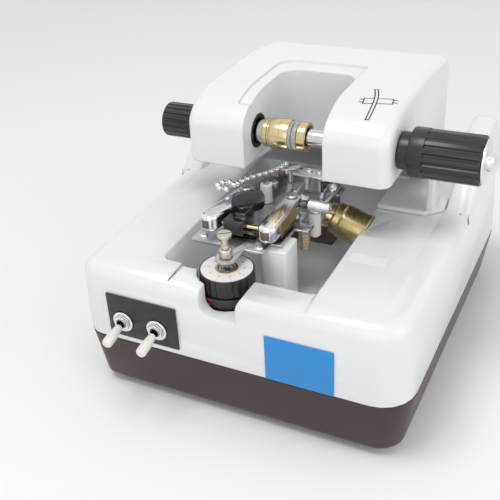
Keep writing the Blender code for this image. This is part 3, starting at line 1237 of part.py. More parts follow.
def spindle_parts(brass, steel, grit):
    """The wheel, the shaft with its pulley, the collar and the housing, all on one axis."""
    line = SPINDLE @ ALONG_X
    pivot = SPINDLE.translation
    turn = Matrix.Rotation(SPINDLE_TILT, 4, "Y")
    half = WHEEL_HALF_WIDTH
    wheel = turned([(SPINDLE_RADIUS + GAP, -half), (WHEEL_RADIUS * 0.7, -half),
                    (WHEEL_RADIUS, -WHEEL_RIM_HALF_WIDTH), (WHEEL_RADIUS, WHEEL_RIM_HALF_WIDTH),
                    (WHEEL_RADIUS * 0.7, half), (SPINDLE_RADIUS + GAP, half)], line)
    place("grooving_wheel", wheel, grit, pivot, turn)
    shoulder = half + GAP
    end = PULLEY_START + PULLEY_WIDTH
    shaft = turned([(0, -half - GAP - WHEEL_NUT_LENGTH),
                    (WHEEL_NUT_RADIUS, -half - GAP - WHEEL_NUT_LENGTH),
                    (WHEEL_NUT_RADIUS, -half - GAP), (SPINDLE_RADIUS, -half - GAP),
                    (SPINDLE_RADIUS, shoulder), (SHOULDER_RADIUS, shoulder),
                    (SHOULDER_RADIUS, shoulder + SHOULDER_LENGTH),
                    (SPINDLE_RADIUS, shoulder + SHOULDER_LENGTH), (SPINDLE_RADIUS, end),
                    (0, end)], line, SMALL_STEPS)
    wheel_end = pulley(SPINDLE_PULLEY_RADIUS, SPINDLE_RADIUS / 2, line)
    place("spindle_shaft", shaped(shaft, (), [wheel_end]), steel, pivot, turn)
    collar = tube(SPINDLE_RADIUS + GAP, COLLAR_RADIUS, COLLAR_START,
                  COLLAR_START + COLLAR_LENGTH - GAP, line, TURN_STEPS)
    hole = rod(SET_SCREW_RADIUS, SPINDLE_RADIUS + 2 * GAP, COLLAR_RADIUS + OVERRUN,
               SPINDLE @ at(COLLAR_START + COLLAR_LENGTH / 2, 0, 0)
               @ Matrix.Rotation(math.pi / 2, 4, "X"), 6)
    place("spindle_collar", shaped(collar, [hole]), brass, pivot, turn)
    start = COLLAR_START + COLLAR_LENGTH
    finish = start + DRUM_LENGTH - GAP
    drum = turned([(SPINDLE_RADIUS + GAP, start), (DRUM_RADIUS, start),
                   (DRUM_RADIUS, start + DRUM_LENGTH * 0.35),
                   (DRUM_END_RADIUS, start + DRUM_LENGTH * 0.45), (DRUM_END_RADIUS, finish),
                   (SPINDLE_RADIUS + GAP, finish)], line)
    place("spindle_housing", drum, brass, pivot, turn)


def pulley(radius, bore, line):
    """A flanged pulley, whose groove takes the flat belt."""
    start = PULLEY_START + GAP
    end = PULLEY_START + PULLEY_WIDTH - GAP
    groove = radius - BELT_THICKNESS - GAP
    return turned([(bore, start), (radius, start), (radius, start + PULLEY_FLANGE),
                   (groove, start + PULLEY_FLANGE), (groove, end - PULLEY_FLANGE),
                   (radius, end - PULLEY_FLANGE), (radius, end), (bore, end)], line,
                  SMALL_STEPS + 4)


def wheel_drive(steel, dark_steel, rubber):
    """The motor behind the spindle, its pulley and the belt."""
    motor_line = SPINDLE @ at(0, MOTOR_BACK, 0) @ ALONG_X
    pivot = (SPINDLE @ at(0, MOTOR_BACK, 0)).translation
    turn = Matrix.Rotation(SPINDLE_TILT, 4, "Y")
    front = PULLEY_START + PULLEY_WIDTH + MOTOR_BOSS_LENGTH + GAP
    shaft_bore = MOTOR_SHAFT_RADIUS + GAP
    motor = turned([(shaft_bore, front - MOTOR_BOSS_LENGTH),
                    (MOTOR_BOSS_RADIUS, front - MOTOR_BOSS_LENGTH), (MOTOR_BOSS_RADIUS, front),
                    (MOTOR_RADIUS, front), (MOTOR_RADIUS, front + MOTOR_LENGTH),
                    (0, front + MOTOR_LENGTH), (0, front + MOTOR_LENGTH * 0.4),
                    (shaft_bore, front + MOTOR_LENGTH * 0.4)], motor_line)
    place("wheel_motor", motor, dark_steel)
    shaft = rod(MOTOR_SHAFT_RADIUS, PULLEY_START, front + MOTOR_LENGTH * 0.4 - GAP, motor_line)
    grooved = pulley(MOTOR_PULLEY_RADIUS, MOTOR_SHAFT_RADIUS / 2, motor_line)
    place("motor_pulley", shaped(shaft, (), [grooved]), steel, pivot, turn)
    low = PULLEY_START + GAP + PULLEY_FLANGE + GAP
    high = PULLEY_START + PULLEY_WIDTH - GAP - PULLEY_FLANGE - GAP
    inner = belt_outline(0)
    outer = belt_outline(BELT_THICKNESS)
    frame = SPINDLE @ ALONG_X
    place("drive_belt", shaped(prism(outer, low, high, frame),
                               [prism(inner, low - OVERRUN, high + OVERRUN, frame)]), rubber)


def motor_saddle():
    """The pedestal moulded in the base, and the round cut that fits the motor."""
    front = PULLEY_START + PULLEY_WIDTH + MOTOR_BOSS_LENGTH + GAP
    middle = SPINDLE @ Vector((front + MOTOR_LENGTH / 2, MOTOR_BACK, 0))
    half = MOTOR_PEDESTAL_HALF
    saddle = block(middle.x - half, middle.x + half, middle.y - half, middle.y + half,
                   FOOT_HEIGHT + TRAY_WALL / 2, middle.z)
    motor_line = SPINDLE @ at(0, MOTOR_BACK, 0) @ ALONG_X
    cut = rod(MOTOR_RADIUS + GAP, front - OVERRUN, front + MOTOR_LENGTH + OVERRUN, motor_line,
              TURN_STEPS)
    return shaped(saddle, [cut])


def belt_outline(thickness):
    """The belt's run round both pulleys, in the plane square to the spindle."""
    small = SPINDLE_PULLEY_RADIUS - BELT_THICKNESS + thickness
    large = MOTOR_PULLEY_RADIUS - BELT_THICKNESS + thickness
    lean = math.degrees(math.asin((large - small) / MOTOR_BACK))
    return (arc(0, 0, small, 180 + lean, 360 - lean, 2 * ARC_STEPS)
            + arc(0, MOTOR_BACK, large, -lean, 180 + lean, 2 * ARC_STEPS))


# Power parts inside the base

def power_parts(steel, board_green, black):
    """Transformer, control board on its posts, and the mains inlet with its pins."""
    floor = tray_floor() + GAP
    x, y = TRANSFORMER_X, TRANSFORMER_Y
    core = block(x - TRANSFORMER_WIDTH / 2, x + TRANSFORMER_WIDTH / 2, y - TRANSFORMER_DEPTH / 2,
                 y + TRANSFORMER_DEPTH / 2, floor, floor + TRANSFORMER_HEIGHT)
    coil = block(x - COIL_WIDTH / 2, x + COIL_WIDTH / 2,
                 y - TRANSFORMER_DEPTH / 2 - COIL_OVERHANG,
                 y + TRANSFORMER_DEPTH / 2 + COIL_OVERHANG,
                 floor + (TRANSFORMER_HEIGHT - COIL_HEIGHT) / 2,
                 floor + (TRANSFORMER_HEIGHT + COIL_HEIGHT) / 2)
    place("transformer", shaped(core, (), [coil]), steel)
    low = floor + BOARD_POST
    board = block(BOARD_X - BOARD_WIDTH / 2, BOARD_X + BOARD_WIDTH / 2,
                  BOARD_Y - BOARD_DEPTH / 2, BOARD_Y + BOARD_DEPTH / 2, low,
                  low + BOARD_THICKNESS)
    parts = [block(BOARD_X + BOARD_WIDTH * share, BOARD_X + BOARD_WIDTH * (share + 0.16),
                   BOARD_Y - BOARD_DEPTH * 0.2, BOARD_Y + BOARD_DEPTH * 0.2,
                   low + BOARD_THICKNESS / 2, low + BOARD_PART_HEIGHT * size_share)
             for share, size_share in ((-0.36, 1.0), (-0.08, 0.7), (0.2, 0.85))]
    posts = [rod(BOARD_POST_RADIUS, floor, low + BOARD_THICKNESS / 2,
                 at(BOARD_X + across * (BOARD_WIDTH / 2 - BOARD_POST_RADIUS),
                    BOARD_Y + along * (BOARD_DEPTH / 2 - BOARD_POST_RADIUS), 0))
             for across in (-1, 1) for along in (-1, 1)]
    place("control_board", shaped(board, (), parts + posts), board_green)
    rear = BODY_DEPTH + GAP
    half_width = INLET_WIDTH / 2
    half_height = INLET_HEIGHT / 2
    flange = block(INLET_X - half_width - INLET_FLANGE, INLET_X + half_width + INLET_FLANGE,
                   rear, rear + INLET_FLANGE_THICKNESS,
                   INLET_Z - half_height - INLET_FLANGE, INLET_Z + half_height + INLET_FLANGE)
    shell = block(INLET_X - half_width, INLET_X + half_width, rear - INLET_DEPTH, rear + GAP,
                  INLET_Z - half_height, INLET_Z + half_height)
    cavity = block(INLET_X - half_width + INLET_WALL, INLET_X + half_width - INLET_WALL,
                   rear + INLET_FLANGE_THICKNESS - INLET_CAVITY, rear + OVERRUN,
                   INLET_Z - half_height + INLET_WALL, INLET_Z + half_height - INLET_WALL)
    pins = []
    tip = rear + INLET_FLANGE_THICKNESS - INLET_CAVITY / 4
    for step in (-1, 0, 1):
        middle = INLET_X + step * INLET_PIN_PITCH
        rise = INLET_Z + (INLET_PIN_HEIGHT / 2 if step == 0 else 0)
        sides = (middle - INLET_PIN_WIDTH / 2, middle + INLET_PIN_WIDTH / 2)
        ends = (rise - INLET_PIN_HEIGHT / 2, rise + INLET_PIN_HEIGHT / 2)
        pins.append(block(*sides, tip - INLET_PIN_LENGTH, tip, *ends))
    housing = shaped(shaped(flange, (), [shell]), [cavity])
    place("mains_inlet", shaped(housing, (), pins), black)


# Tilting head

def head_outline(wall):
    """The head seen from the side; a wall draws it inwards and opens it below."""
    front = HEAD_FRONT_Y + wall
    rear = HEAD_REAR_Y - wall
    drop = OVERRUN if wall else 0
    nose_depth = HEAD_NOSE_DEPTH - wall
    nose_height = HEAD_NOSE_HEIGHT - wall
    top = HEAD_TOP_Z - wall
    rear_top = top - HEAD_TOP_FALL
    radius = HEAD_REAR_RADIUS - wall
    outline = [(front, HEAD_ARM_LOW_Z - drop)]
    outline += arc(front + nose_depth, top - nose_height, nose_depth, 180, 90, ARC_STEPS + 2,
                   nose_height / nose_depth)
    outline += [(HEAD_FLAT_Y, top)]
    outline += arc(rear - radius, rear_top - radius, radius, 90, 0)
    outline += [(rear, HEAD_REAR_LOW_Z - drop), (HEAD_SLOPE_END_Y + wall, HEAD_REAR_LOW_Z - drop),
                (HEAD_ARM_END_Y + wall, HEAD_ARM_LOW_Z - drop)]
    return outline


def mouth_outline(wall, front):
    """The U-shaped mouth between the arms, seen from above."""
    half = MOUTH_HALF_WIDTH + wall
    rear = MOUTH_REAR_Y + wall
    return rounded(-half, half, front, rear, [wall + GAP, wall + GAP, MOUTH_RADIUS, MOUTH_RADIUS])


def head_shell(white):
    """The white U-shaped cover of the head, hollow and open below."""
    half = HEAD_HALF_WIDTH
    bm = prism(head_outline(0), -half, half, SIDEWAYS)
    rims = [edge for edge in bm.edges
            if edge.calc_face_angle(0) > math.radians(80)
            and abs(edge.verts[0].co.x - edge.verts[1].co.x) < MERGE
            and edge.verts[0].co.z + edge.verts[1].co.z > 2 * HEAD_ARM_LOW_Z]
    bmesh.ops.bevel(bm, geom=rims, offset=HEAD_EDGE_RADIUS, segments=3, profile=0.5,
                    affect="EDGES")
    shell = raw_object("shell", closed_mesh(bm))
    low = HEAD_REAR_LOW_Z - OVERRUN
    high = HEAD_TOP_Z + OVERRUN
    ledge = prism(rounded(-MOUTH_HALF_WIDTH - RIM_LEFT, MOUTH_HALF_WIDTH,
                          HEAD_FRONT_Y + HEAD_NOSE_DEPTH / 3, MOUTH_REAR_Y + RIM_REAR,
                          [GAP, GAP, GAP, MOUTH_RADIUS]), HEAD_ARM_LOW_Z, high)
    core = prism(head_outline(RIM_DEPTH), -half, half, SIDEWAYS)
    combine(shell, shaped(ledge, [core]))
    mouth_wall = prism(mouth_outline(HEAD_WALL, HEAD_FRONT_Y - OVERRUN), low, high)
    hollow = shaped(prism(head_outline(HEAD_WALL), -half + HEAD_WALL, half - HEAD_WALL, SIDEWAYS),
                    [mouth_wall])
    combine(shell, hollow)
    combine(shell, prism(mouth_outline(0, HEAD_FRONT_Y - OVERRUN), low, high))
    holes = [(ARM_HOLE_RADIUS, -MOUTH_HALF_WIDTH - 2 * HEAD_WALL, -MOUTH_HALF_WIDTH + OVERRUN),
             (RIGHT_SHAFT_RADIUS + 2 * GAP, MOUTH_HALF_WIDTH - OVERRUN, half + OVERRUN),
             (LEFT_SHAFT_RADIUS + GAP, -half - OVERRUN, -half + 2 * HEAD_WALL)]
    for radius, start, end in holes:
        combine(shell, rod(radius, start, end, CLAMP, TURN_STEPS))
    bm = bmesh.new()
    bm.from_mesh(shell.data)
    bpy.data.objects.remove(shell)
    place("head_shell", closed_mesh(bm), white, (0, HINGE_Y, HINGE_Z))


def head_chassis(steel):
    """The metal floor of the head: a U-shaped plate with bearing standards and hinge lugs."""
    inset = HEAD_WALL + CHASSIS_MARGIN
    half = HEAD_HALF_WIDTH - inset
    plate = prism(rounded(-half, half, HEAD_FRONT_Y + inset, HINGE_Y + HINGE_LUG_RADIUS,
                          [CHASSIS_MARGIN] * 4, 1), CHASSIS_Z, CHASSIS_Z + CHASSIS_THICKNESS)
    mouth = prism(mouth_outline(HEAD_WALL + CHASSIS_MARGIN, HEAD_FRONT_Y - OVERRUN),
                  CHASSIS_Z - OVERRUN, CHASSIS_Z + OVERRUN)
    extras = []
    for x in (LEFT_INNER_STANDARD_X, -OUTER_STANDARD_X, RIGHT_INNER_STANDARD_X,
              OUTER_STANDARD_X):
        bore = LEFT_SHAFT_RADIUS if x < 0 else RIGHT_SHAFT_RADIUS
        extras.append(standard(x, STANDARD_WIDTH, bore + STANDARD_WALL,
                               CHASSIS_Z + CHASSIS_THICKNESS / 2))
    for side in (-1, 1):
        left = side * HINGE_X + HINGE_LUG_WIDTH / 2 + GAP
        lug = arc(HINGE_Y, HINGE_Z, HINGE_LUG_RADIUS, 180, 360) + [
            (HINGE_Y + HINGE_LUG_RADIUS, CHASSIS_Z + CHASSIS_THICKNESS / 2),
            (HINGE_Y - HINGE_LUG_RADIUS, CHASSIS_Z + CHASSIS_THICKNESS / 2)]
        extras.append(prism(lug, left, left + HINGE_LUG_WIDTH, SIDEWAYS))
    cuts = [mouth]
    chassis = shaped(plate, cuts, ())
    chassis = shaped(chassis, (), extras)
    bores = [rod(LEFT_SHAFT_RADIUS + GAP, -HEAD_HALF_WIDTH, 0, CLAMP, TURN_STEPS),
             rod(RIGHT_SHAFT_RADIUS + GAP, 0, HEAD_HALF_WIDTH, CLAMP, TURN_STEPS),
             rod(HINGE_PIN_RADIUS + GAP, -HEAD_HALF_WIDTH, HEAD_HALF_WIDTH,
                 at(0, HINGE_Y, HINGE_Z) @ ALONG_X)]
    place("head_chassis", shaped(chassis, bores), steel, (0, HINGE_Y, HINGE_Z))


def standard(x, width, radius, low):
    """An upright with a round top, which carries a shaft on the clamp line."""
    outline = arc(CLAMP_Y, CLAMP_Z, radius, 0, 180, 2 * ARC_STEPS) + [
        (CLAMP_Y - radius, low), (CLAMP_Y + radius, low)]
    return prism(outline, x - width / 2, x + width / 2, SIDEWAYS)


def deck_lugs():
    """The two lugs moulded on the deck for the hinge rod."""
    low = DECK_Z - COVER_WALL / 2
    half = HINGE_LUG_WIDTH / 2
    front = HINGE_Y - HINGE_LUG_RADIUS
    rear = HINGE_Y + HINGE_LUG_RADIUS * math.cos(math.radians(HINGE_LUG_HEEL))
    outline = ([(front - HINGE_FOOT_LENGTH, low), (rear, low)]
               + arc(HINGE_Y, HINGE_Z, HINGE_LUG_RADIUS, HINGE_LUG_HEEL, 180, 2 * ARC_STEPS)
               + [(front, DECK_Z + HINGE_FOOT_THICKNESS),
                  (front - HINGE_FOOT_LENGTH, DECK_Z + HINGE_FOOT_THICKNESS)])
    lugs = []
    for side in (-1, 1):
        x = side * HINGE_X
        lugs.append(prism(outline, x - half, x + half, SIDEWAYS))
    return lugs


def hinge_rod(dark_steel):
    """The headed rod through both deck lugs and both chassis lugs."""
    line = at(0, HINGE_Y, HINGE_Z) @ ALONG_X
    start = -HINGE_X - HINGE_LUG_WIDTH / 2 - GAP
    end = HINGE_X + HINGE_LUG_WIDTH * 1.5 + 2 * GAP
    head = HINGE_PIN_RADIUS * 1.5
    rim = HINGE_PIN_RADIUS / 2
    rod_mesh = turned([(0, start - rim), (head, start - rim), (head, start),
                       (HINGE_PIN_RADIUS, start), (HINGE_PIN_RADIUS, end), (head, end),
                       (head, end + rim), (0, end + rim)], line, SMALL_STEPS)
    place("hinge_rod", rod_mesh, dark_steel)


# Clamp line

def left_clamp(steel, brass, pad_surface, black):
    """The driven side: shaft, flange, brass chuck, pad, gear and small knob."""
    pivot = (LEFT_CHUCK_X, CLAMP_Y, CLAMP_Z)
    chuck_end = LEFT_CHUCK_X + LEFT_CHUCK_LENGTH
    radius = LEFT_SHAFT_RADIUS
    knob_start = -HEAD_HALF_WIDTH - GAP
    shaft_end = knob_start - LEFT_KNOB_BORE_DEPTH
    flange = LEFT_CHUCK_X - GAP
    shaft = turned([(0, shaft_end + GAP), (radius, shaft_end + GAP),
                    (radius, flange - CHUCK_SHOULDER),
                    (LEFT_FLANGE_RADIUS, flange - CHUCK_SHOULDER),
                    (LEFT_FLANGE_RADIUS, flange), (radius, flange),
                    (radius, chuck_end - CHUCK_CUP - PAD_THICKNESS / 2), (0, chuck_end - CHUCK_CUP
                                                                         - PAD_THICKNESS / 2)],
                   CLAMP)
    toothed = gear(LENS_GEAR_TEETH, LENS_GEAR_X, radius / 2, CLAMP, 0)
    place("left_clamp_shaft", shaped(shaft, (), [toothed]), steel, pivot)
    outer = LEFT_CHUCK_RADIUS
    seat = chuck_end - CHUCK_CUP
    chuck = turned([(radius + GAP, LEFT_CHUCK_X), (outer - CHUCK_STEP, LEFT_CHUCK_X),
                    (outer - CHUCK_STEP, LEFT_CHUCK_X + CHUCK_SHOULDER),
                    (outer, LEFT_CHUCK_X + CHUCK_SHOULDER + CHUCK_STEP),
                    (outer, chuck_end), (PAD_RADIUS + GAP, chuck_end), (PAD_RADIUS + GAP, seat),
                    (radius + GAP, seat)], CLAMP)
    place("left_brass_chuck", chuck, brass, pivot)
    pad_face = seat + GAP + PAD_THICKNESS
    pad = turned([(0, seat + GAP), (PAD_RADIUS, seat + GAP), (PAD_RADIUS, pad_face - GAP),
                  (PAD_RADIUS - GAP, pad_face), (PAD_RADIUS / 2, pad_face),
                  (PAD_RADIUS / 2 - GAP, pad_face - 2 * GAP), (0, pad_face - 2 * GAP)], CLAMP)
    place("left_lens_pad", pad, pad_surface, pivot)
    start = knob_start - LEFT_KNOB_LENGTH
    knob = turned([(0, start), (LEFT_KNOB_RADIUS - KNOB_EDGE, start),
                   (LEFT_KNOB_RADIUS, start + KNOB_EDGE),
                   (LEFT_KNOB_RADIUS, knob_start - KNOB_EDGE),
                   (LEFT_KNOB_RADIUS - KNOB_EDGE, knob_start), (radius + GAP, knob_start),
                   (radius + GAP, shaft_end), (0, shaft_end)], CLAMP, 2 * KNOB_FLUTES,
                  (KNOB_FLUTE_DEPTH, start + KNOB_EDGE, knob_start - KNOB_EDGE))
    place("left_knob", knob, black, pivot)
    return pad_face


def gear(teeth, x, bore, line, phase):
    """A spur gear about a line, with straight-flanked teeth and its middle plane at x."""
    pitch = GEAR_MODULE * teeth / 2
    tip = pitch + GEAR_MODULE * 0.9
    root = pitch - GEAR_MODULE * 1.15
    outline = []
    for tooth in range(teeth):
        middle = phase + 2 * math.pi * tooth / teeth
        for reach, share in ((root, -0.32), (tip, -0.12), (tip, 0.12), (root, 0.32)):
            angle = middle + share * 2 * math.pi / teeth
            outline.append((reach * math.cos(angle), reach * math.sin(angle)))
    half = GEAR_WIDTH / 2
    return shaped(prism(outline, x - half, x + half, line),
                  [rod(bore, x - half - OVERRUN, x + half + OVERRUN, line)])


def lens_drive(steel, dark_steel):
    """The geared motor behind the clamp line, with its pinion in mesh with the lens gear."""
    spacing = GEAR_MODULE * (LENS_GEAR_TEETH + PINION_TEETH) / 2 + GEAR_BACKLASH
    y = CLAMP_Y + spacing * math.cos(GEAR_LIFT)
    z = CLAMP_Z + spacing * math.sin(GEAR_LIFT)
    line = at(0, y, z) @ ALONG_X
    pivot = (LENS_GEAR_X, y, z)
    facing = math.atan2(y - CLAMP_Y, -(z - CLAMP_Z))
    lens_phase = facing * LENS_GEAR_TEETH
    phase = facing + math.pi + (math.pi + lens_phase) / PINION_TEETH
    bore = MOTOR_SHAFT_RADIUS + GAP
    toothed = gear(PINION_TEETH, LENS_GEAR_X, MOTOR_SHAFT_RADIUS / 2, line, phase)
    front = LENS_GEAR_X - GEAR_WIDTH / 2 - 3 * GAP
    rear = front - LENS_MOTOR_LENGTH
    depth = front - LENS_MOTOR_LENGTH * 0.4
    motor = turned([(bore, front), (LENS_MOTOR_RADIUS, front), (LENS_MOTOR_RADIUS, rear),
                    (0, rear), (0, depth), (bore, depth)], line)
    cradle = block(rear, front, y - LENS_MOTOR_RADIUS * 0.6, y + LENS_MOTOR_RADIUS * 0.6,
                   CHASSIS_Z + CHASSIS_THICKNESS + GAP, z - LENS_MOTOR_RADIUS * 0.75)
    place("lens_motor", shaped(motor, (), [cradle]), dark_steel, (0, HINGE_Y, HINGE_Z))
    shaft = rod(MOTOR_SHAFT_RADIUS, depth + GAP, LENS_GEAR_X + GEAR_WIDTH / 2 + GAP, line)
    place("lens_pinion", shaped(shaft, (), [toothed]), steel, pivot)


def right_clamp(pad_face, steel, brass, pad_surface, black, silver):
    """The sliding side: pad, recessed chuck and shaft, carrier, and the clamp knob."""
    start = pad_face + GAP
    pivot = (start, CLAMP_Y, CLAMP_Z)
    seat = start + PAD_THICKNESS
    pad = turned([(0, seat), (PAD_RADIUS, seat), (PAD_RADIUS, start + GAP),
                  (PAD_RADIUS - GAP, start), (PAD_RADIUS / 2, start),
                  (PAD_RADIUS / 2 - GAP, start + 2 * GAP), (0, start + 2 * GAP)], CLAMP)
    place("right_lens_pad", pad, pad_surface, pivot)
    near = seat + GAP
    far = near + RIGHT_CHUCK_LENGTH
    radius = RIGHT_SHAFT_RADIUS
    chuck = turned([(0, near), (RIGHT_CHUCK_RADIUS, near), (RIGHT_CHUCK_RADIUS, far),
                    (RIGHT_CHUCK_RECESS, far), (RIGHT_CHUCK_RECESS, near + PAD_THICKNESS / 2),
                    (0, near + PAD_THICKNESS / 2)], CLAMP)
    place("right_brass_chuck", chuck, brass, pivot)
    ring = CARRIER_RING
    low = CARRIER_X - CARRIER_WIDTH / 2 - GAP
    high = CARRIER_X + CARRIER_WIDTH / 2 + GAP
    end = RIGHT_SHAFT_END_X
    bore = RIGHT_SHAFT_BORE
    shaft = turned([(0, near + PAD_THICKNESS / 2 + GAP), (radius, near + PAD_THICKNESS / 2 + GAP),
                    (radius, low - CARRIER_RING_WIDTH), (ring, low - CARRIER_RING_WIDTH),
                    (ring, low), (radius, low), (radius, high), (ring, high),
                    (ring, high + CARRIER_RING_WIDTH), (radius, high + CARRIER_RING_WIDTH),
                    (radius, end), (bore, end), (bore, low), (0, low)], CLAMP)
    place("right_clamp_shaft", shaft, steel, pivot)
    carrier = shaped(standard(CARRIER_X, CARRIER_WIDTH, ring + GAP,
                              CHASSIS_Z + CHASSIS_THICKNESS + GAP),
                     [rod(radius + GAP, low - OVERRUN, high + OVERRUN, CLAMP, TURN_STEPS)])
    place("clamp_carrier", carrier, dark, (CARRIER_X, CLAMP_Y, CLAMP_Z))
    base = HEAD_HALF_WIDTH + GAP
    body = base + KNOB_COLLAR_LENGTH
    tip = body + KNOB_LENGTH
    depth = base + KNOB_BORE_DEPTH
    screw_bore = CLAMP_SCREW_RADIUS + GAP
    knob_pivot = (base, CLAMP_Y, CLAMP_Z)
    knob = turned([(KNOB_BORE, base), (KNOB_COLLAR_RADIUS, base), (KNOB_COLLAR_RADIUS, body),
                   (KNOB_RADIUS - KNOB_EDGE, body), (KNOB_RADIUS, body + KNOB_EDGE),
                   (KNOB_RADIUS, body + KNOB_SMOOTH), (KNOB_RADIUS - GAP, body + KNOB_SMOOTH + GAP),
                   (KNOB_RADIUS - GAP, tip - KNOB_EDGE), (KNOB_RADIUS - KNOB_EDGE, tip),
                   (screw_bore, tip), (screw_bore, depth), (KNOB_BORE, depth)],
                  CLAMP, 2 * KNOB_FLUTES,
                  (KNOB_FLUTE_DEPTH, body + KNOB_SMOOTH + GAP / 2, tip - KNOB_EDGE))
    place("clamp_knob", knob, black, knob_pivot)
    cap_low = tip + GAP
    nut_low = cap_low + CAP_THICKNESS
    radius = CLAMP_SCREW_RADIUS
    root = low + CLAMP_TRAVEL + GAP
    screw = turned([(0, root), (radius, root), (radius, cap_low), (CAP_RADIUS, cap_low),
                    (CAP_RADIUS, cap_low + CAP_THICKNESS / 2),
                    (CAP_RADIUS - CAP_THICKNESS / 2, nut_low), (CAP_NUT_RADIUS, nut_low),
                    (CAP_NUT_RADIUS, nut_low + CAP_NUT_LENGTH * 0.35),
                    (CAP_NUT_RADIUS * 0.8, nut_low + CAP_NUT_LENGTH * 0.75),
                    (CAP_NUT_RADIUS * 0.4, nut_low + CAP_NUT_LENGTH),
                    (0, nut_low + CAP_NUT_LENGTH)], CLAMP)
    place("clamp_screw", screw, silver, knob_pivot)


# Build the machine

for old in list(bpy.data.objects):
    bpy.data.objects.remove(old)

machine = bpy.data.objects.new("machine", None)
bpy.context.scene.collection.objects.link(machine)
machine.location = (FRAME_X, FRAME_Y, 0)

white = material("gloss white moulding", (0.88, 0.89, 0.90), 0.28)
dark = material("dark brown moulding", (0.045, 0.030, 0.034), 0.38)
black = material("black plastic", (0.030, 0.024, 0.027), 0.32)
rubber = material("black rubber", (0.02, 0.02, 0.02), 0.85)
ivory = material("ivory sleeve", (0.86, 0.85, 0.80), 0.40)
nylon = material("white nylon", (0.84, 0.85, 0.84), 0.45)
blue = material("blue label", (0.05, 0.30, 0.68), 0.40)
paper = material("white sticker", (0.90, 0.90, 0.90), 0.50)
brass = material("brass", (0.74, 0.58, 0.27), 0.28, 1.0)
chrome = material("chrome plate", (0.78, 0.78, 0.80), 0.10, 1.0)
steel = material("ground steel", (0.62, 0.62, 0.63), 0.30, 1.0)
dark_steel = material("blackened steel", (0.16, 0.16, 0.17), 0.45, 0.9)
silver = material("silver plate", (0.80, 0.80, 0.81), 0.35, 0.9)
board_green = material("circuit board", (0.04, 0.20, 0.09), 0.50)
pad_green = material("clear pad", (0.52, 0.52, 0.42), 0.35)
grit = material("diamond grit wheel", (0.45, 0.44, 0.42), 0.55, 0.6)

top_cover(white)
base_tray(dark)
rubber_feet(rubber)
rest_bracket(white)
labels_and_panel(black, blue)
place("lens_switch_body", switch_body(LENS_SWITCH_X), black)
place("wheel_switch_body", switch_body(WHEEL_SWITCH_X), black)
switch_nut("lens_switch_nut", LENS_SWITCH_X, chrome)
switch_nut("wheel_switch_nut", WHEEL_SWITCH_X, chrome)
switch_lever("lens_switch_lever", LENS_SWITCH_X, ivory)
switch_lever("wheel_switch_lever", WHEEL_SWITCH_X, ivory)
depth_dial(black, paper, steel)
guide_plate(steel)
carriage_stand(steel)
depth_screw(chrome)
guide_arm("right_guide_arm", 1, chrome)
guide_arm("left_guide_arm", -1, chrome)
cross_rod(brass)
thumb_screw(silver, black)
sponge_clip(black)
rollers(nylon)
roller_strip(chrome)
wheel_guard(chrome)
bead_chain(chrome, silver)
spindle_parts(brass, steel, grit)
wheel_drive(steel, dark_steel, rubber)
power_parts(dark_steel, board_green, black)
head_shell(white)
head_chassis(steel)
hinge_rod(dark_steel)
face = left_clamp(steel, brass, pad_green, black)
lens_drive(steel, dark_steel)
right_clamp(face, steel, brass, pad_green, black, silver)
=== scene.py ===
"""A lens groover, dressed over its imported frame: finer forms, details and finishes."""

import json
import math

import bmesh
import bpy
from mathutils import Matrix, Vector

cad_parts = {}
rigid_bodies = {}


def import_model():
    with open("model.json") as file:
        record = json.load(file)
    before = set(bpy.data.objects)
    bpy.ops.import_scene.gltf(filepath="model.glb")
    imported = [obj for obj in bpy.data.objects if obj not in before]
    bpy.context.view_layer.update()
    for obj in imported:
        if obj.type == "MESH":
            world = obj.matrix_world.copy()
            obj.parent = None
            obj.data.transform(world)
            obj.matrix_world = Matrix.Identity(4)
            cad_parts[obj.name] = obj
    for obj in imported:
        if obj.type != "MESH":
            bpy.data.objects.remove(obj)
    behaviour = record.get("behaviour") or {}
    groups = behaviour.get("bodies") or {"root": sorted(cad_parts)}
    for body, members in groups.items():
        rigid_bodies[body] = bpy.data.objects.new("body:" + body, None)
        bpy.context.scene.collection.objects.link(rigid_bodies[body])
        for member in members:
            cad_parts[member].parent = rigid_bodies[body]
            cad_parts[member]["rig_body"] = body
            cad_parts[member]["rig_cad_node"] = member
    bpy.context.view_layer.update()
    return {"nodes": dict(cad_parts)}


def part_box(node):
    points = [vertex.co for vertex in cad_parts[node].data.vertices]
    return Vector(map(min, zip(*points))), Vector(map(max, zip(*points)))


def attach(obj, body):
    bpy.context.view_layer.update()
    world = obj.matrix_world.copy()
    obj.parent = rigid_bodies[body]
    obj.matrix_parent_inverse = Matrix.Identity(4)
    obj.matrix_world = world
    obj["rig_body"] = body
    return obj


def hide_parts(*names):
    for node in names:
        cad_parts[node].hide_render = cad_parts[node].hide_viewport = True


bl_info = {
    "name": "Lens groover",
    "version": (1, 0, 0),
    "blender": (4, 5, 0),
    "location": "View3D > Sidebar > Groover",
    "description": "Builds the forms and finishes of a lens groover over its frame",
    "category": "Object",
}

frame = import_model()
TRAY_LOW, TRAY_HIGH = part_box("base_tray")

# The machine's own frame: x from the middle of the body, y from its front face, z from the table
HOME = Matrix.Translation(((TRAY_LOW.x + TRAY_HIGH.x) / 2, TRAY_LOW.y, 0))
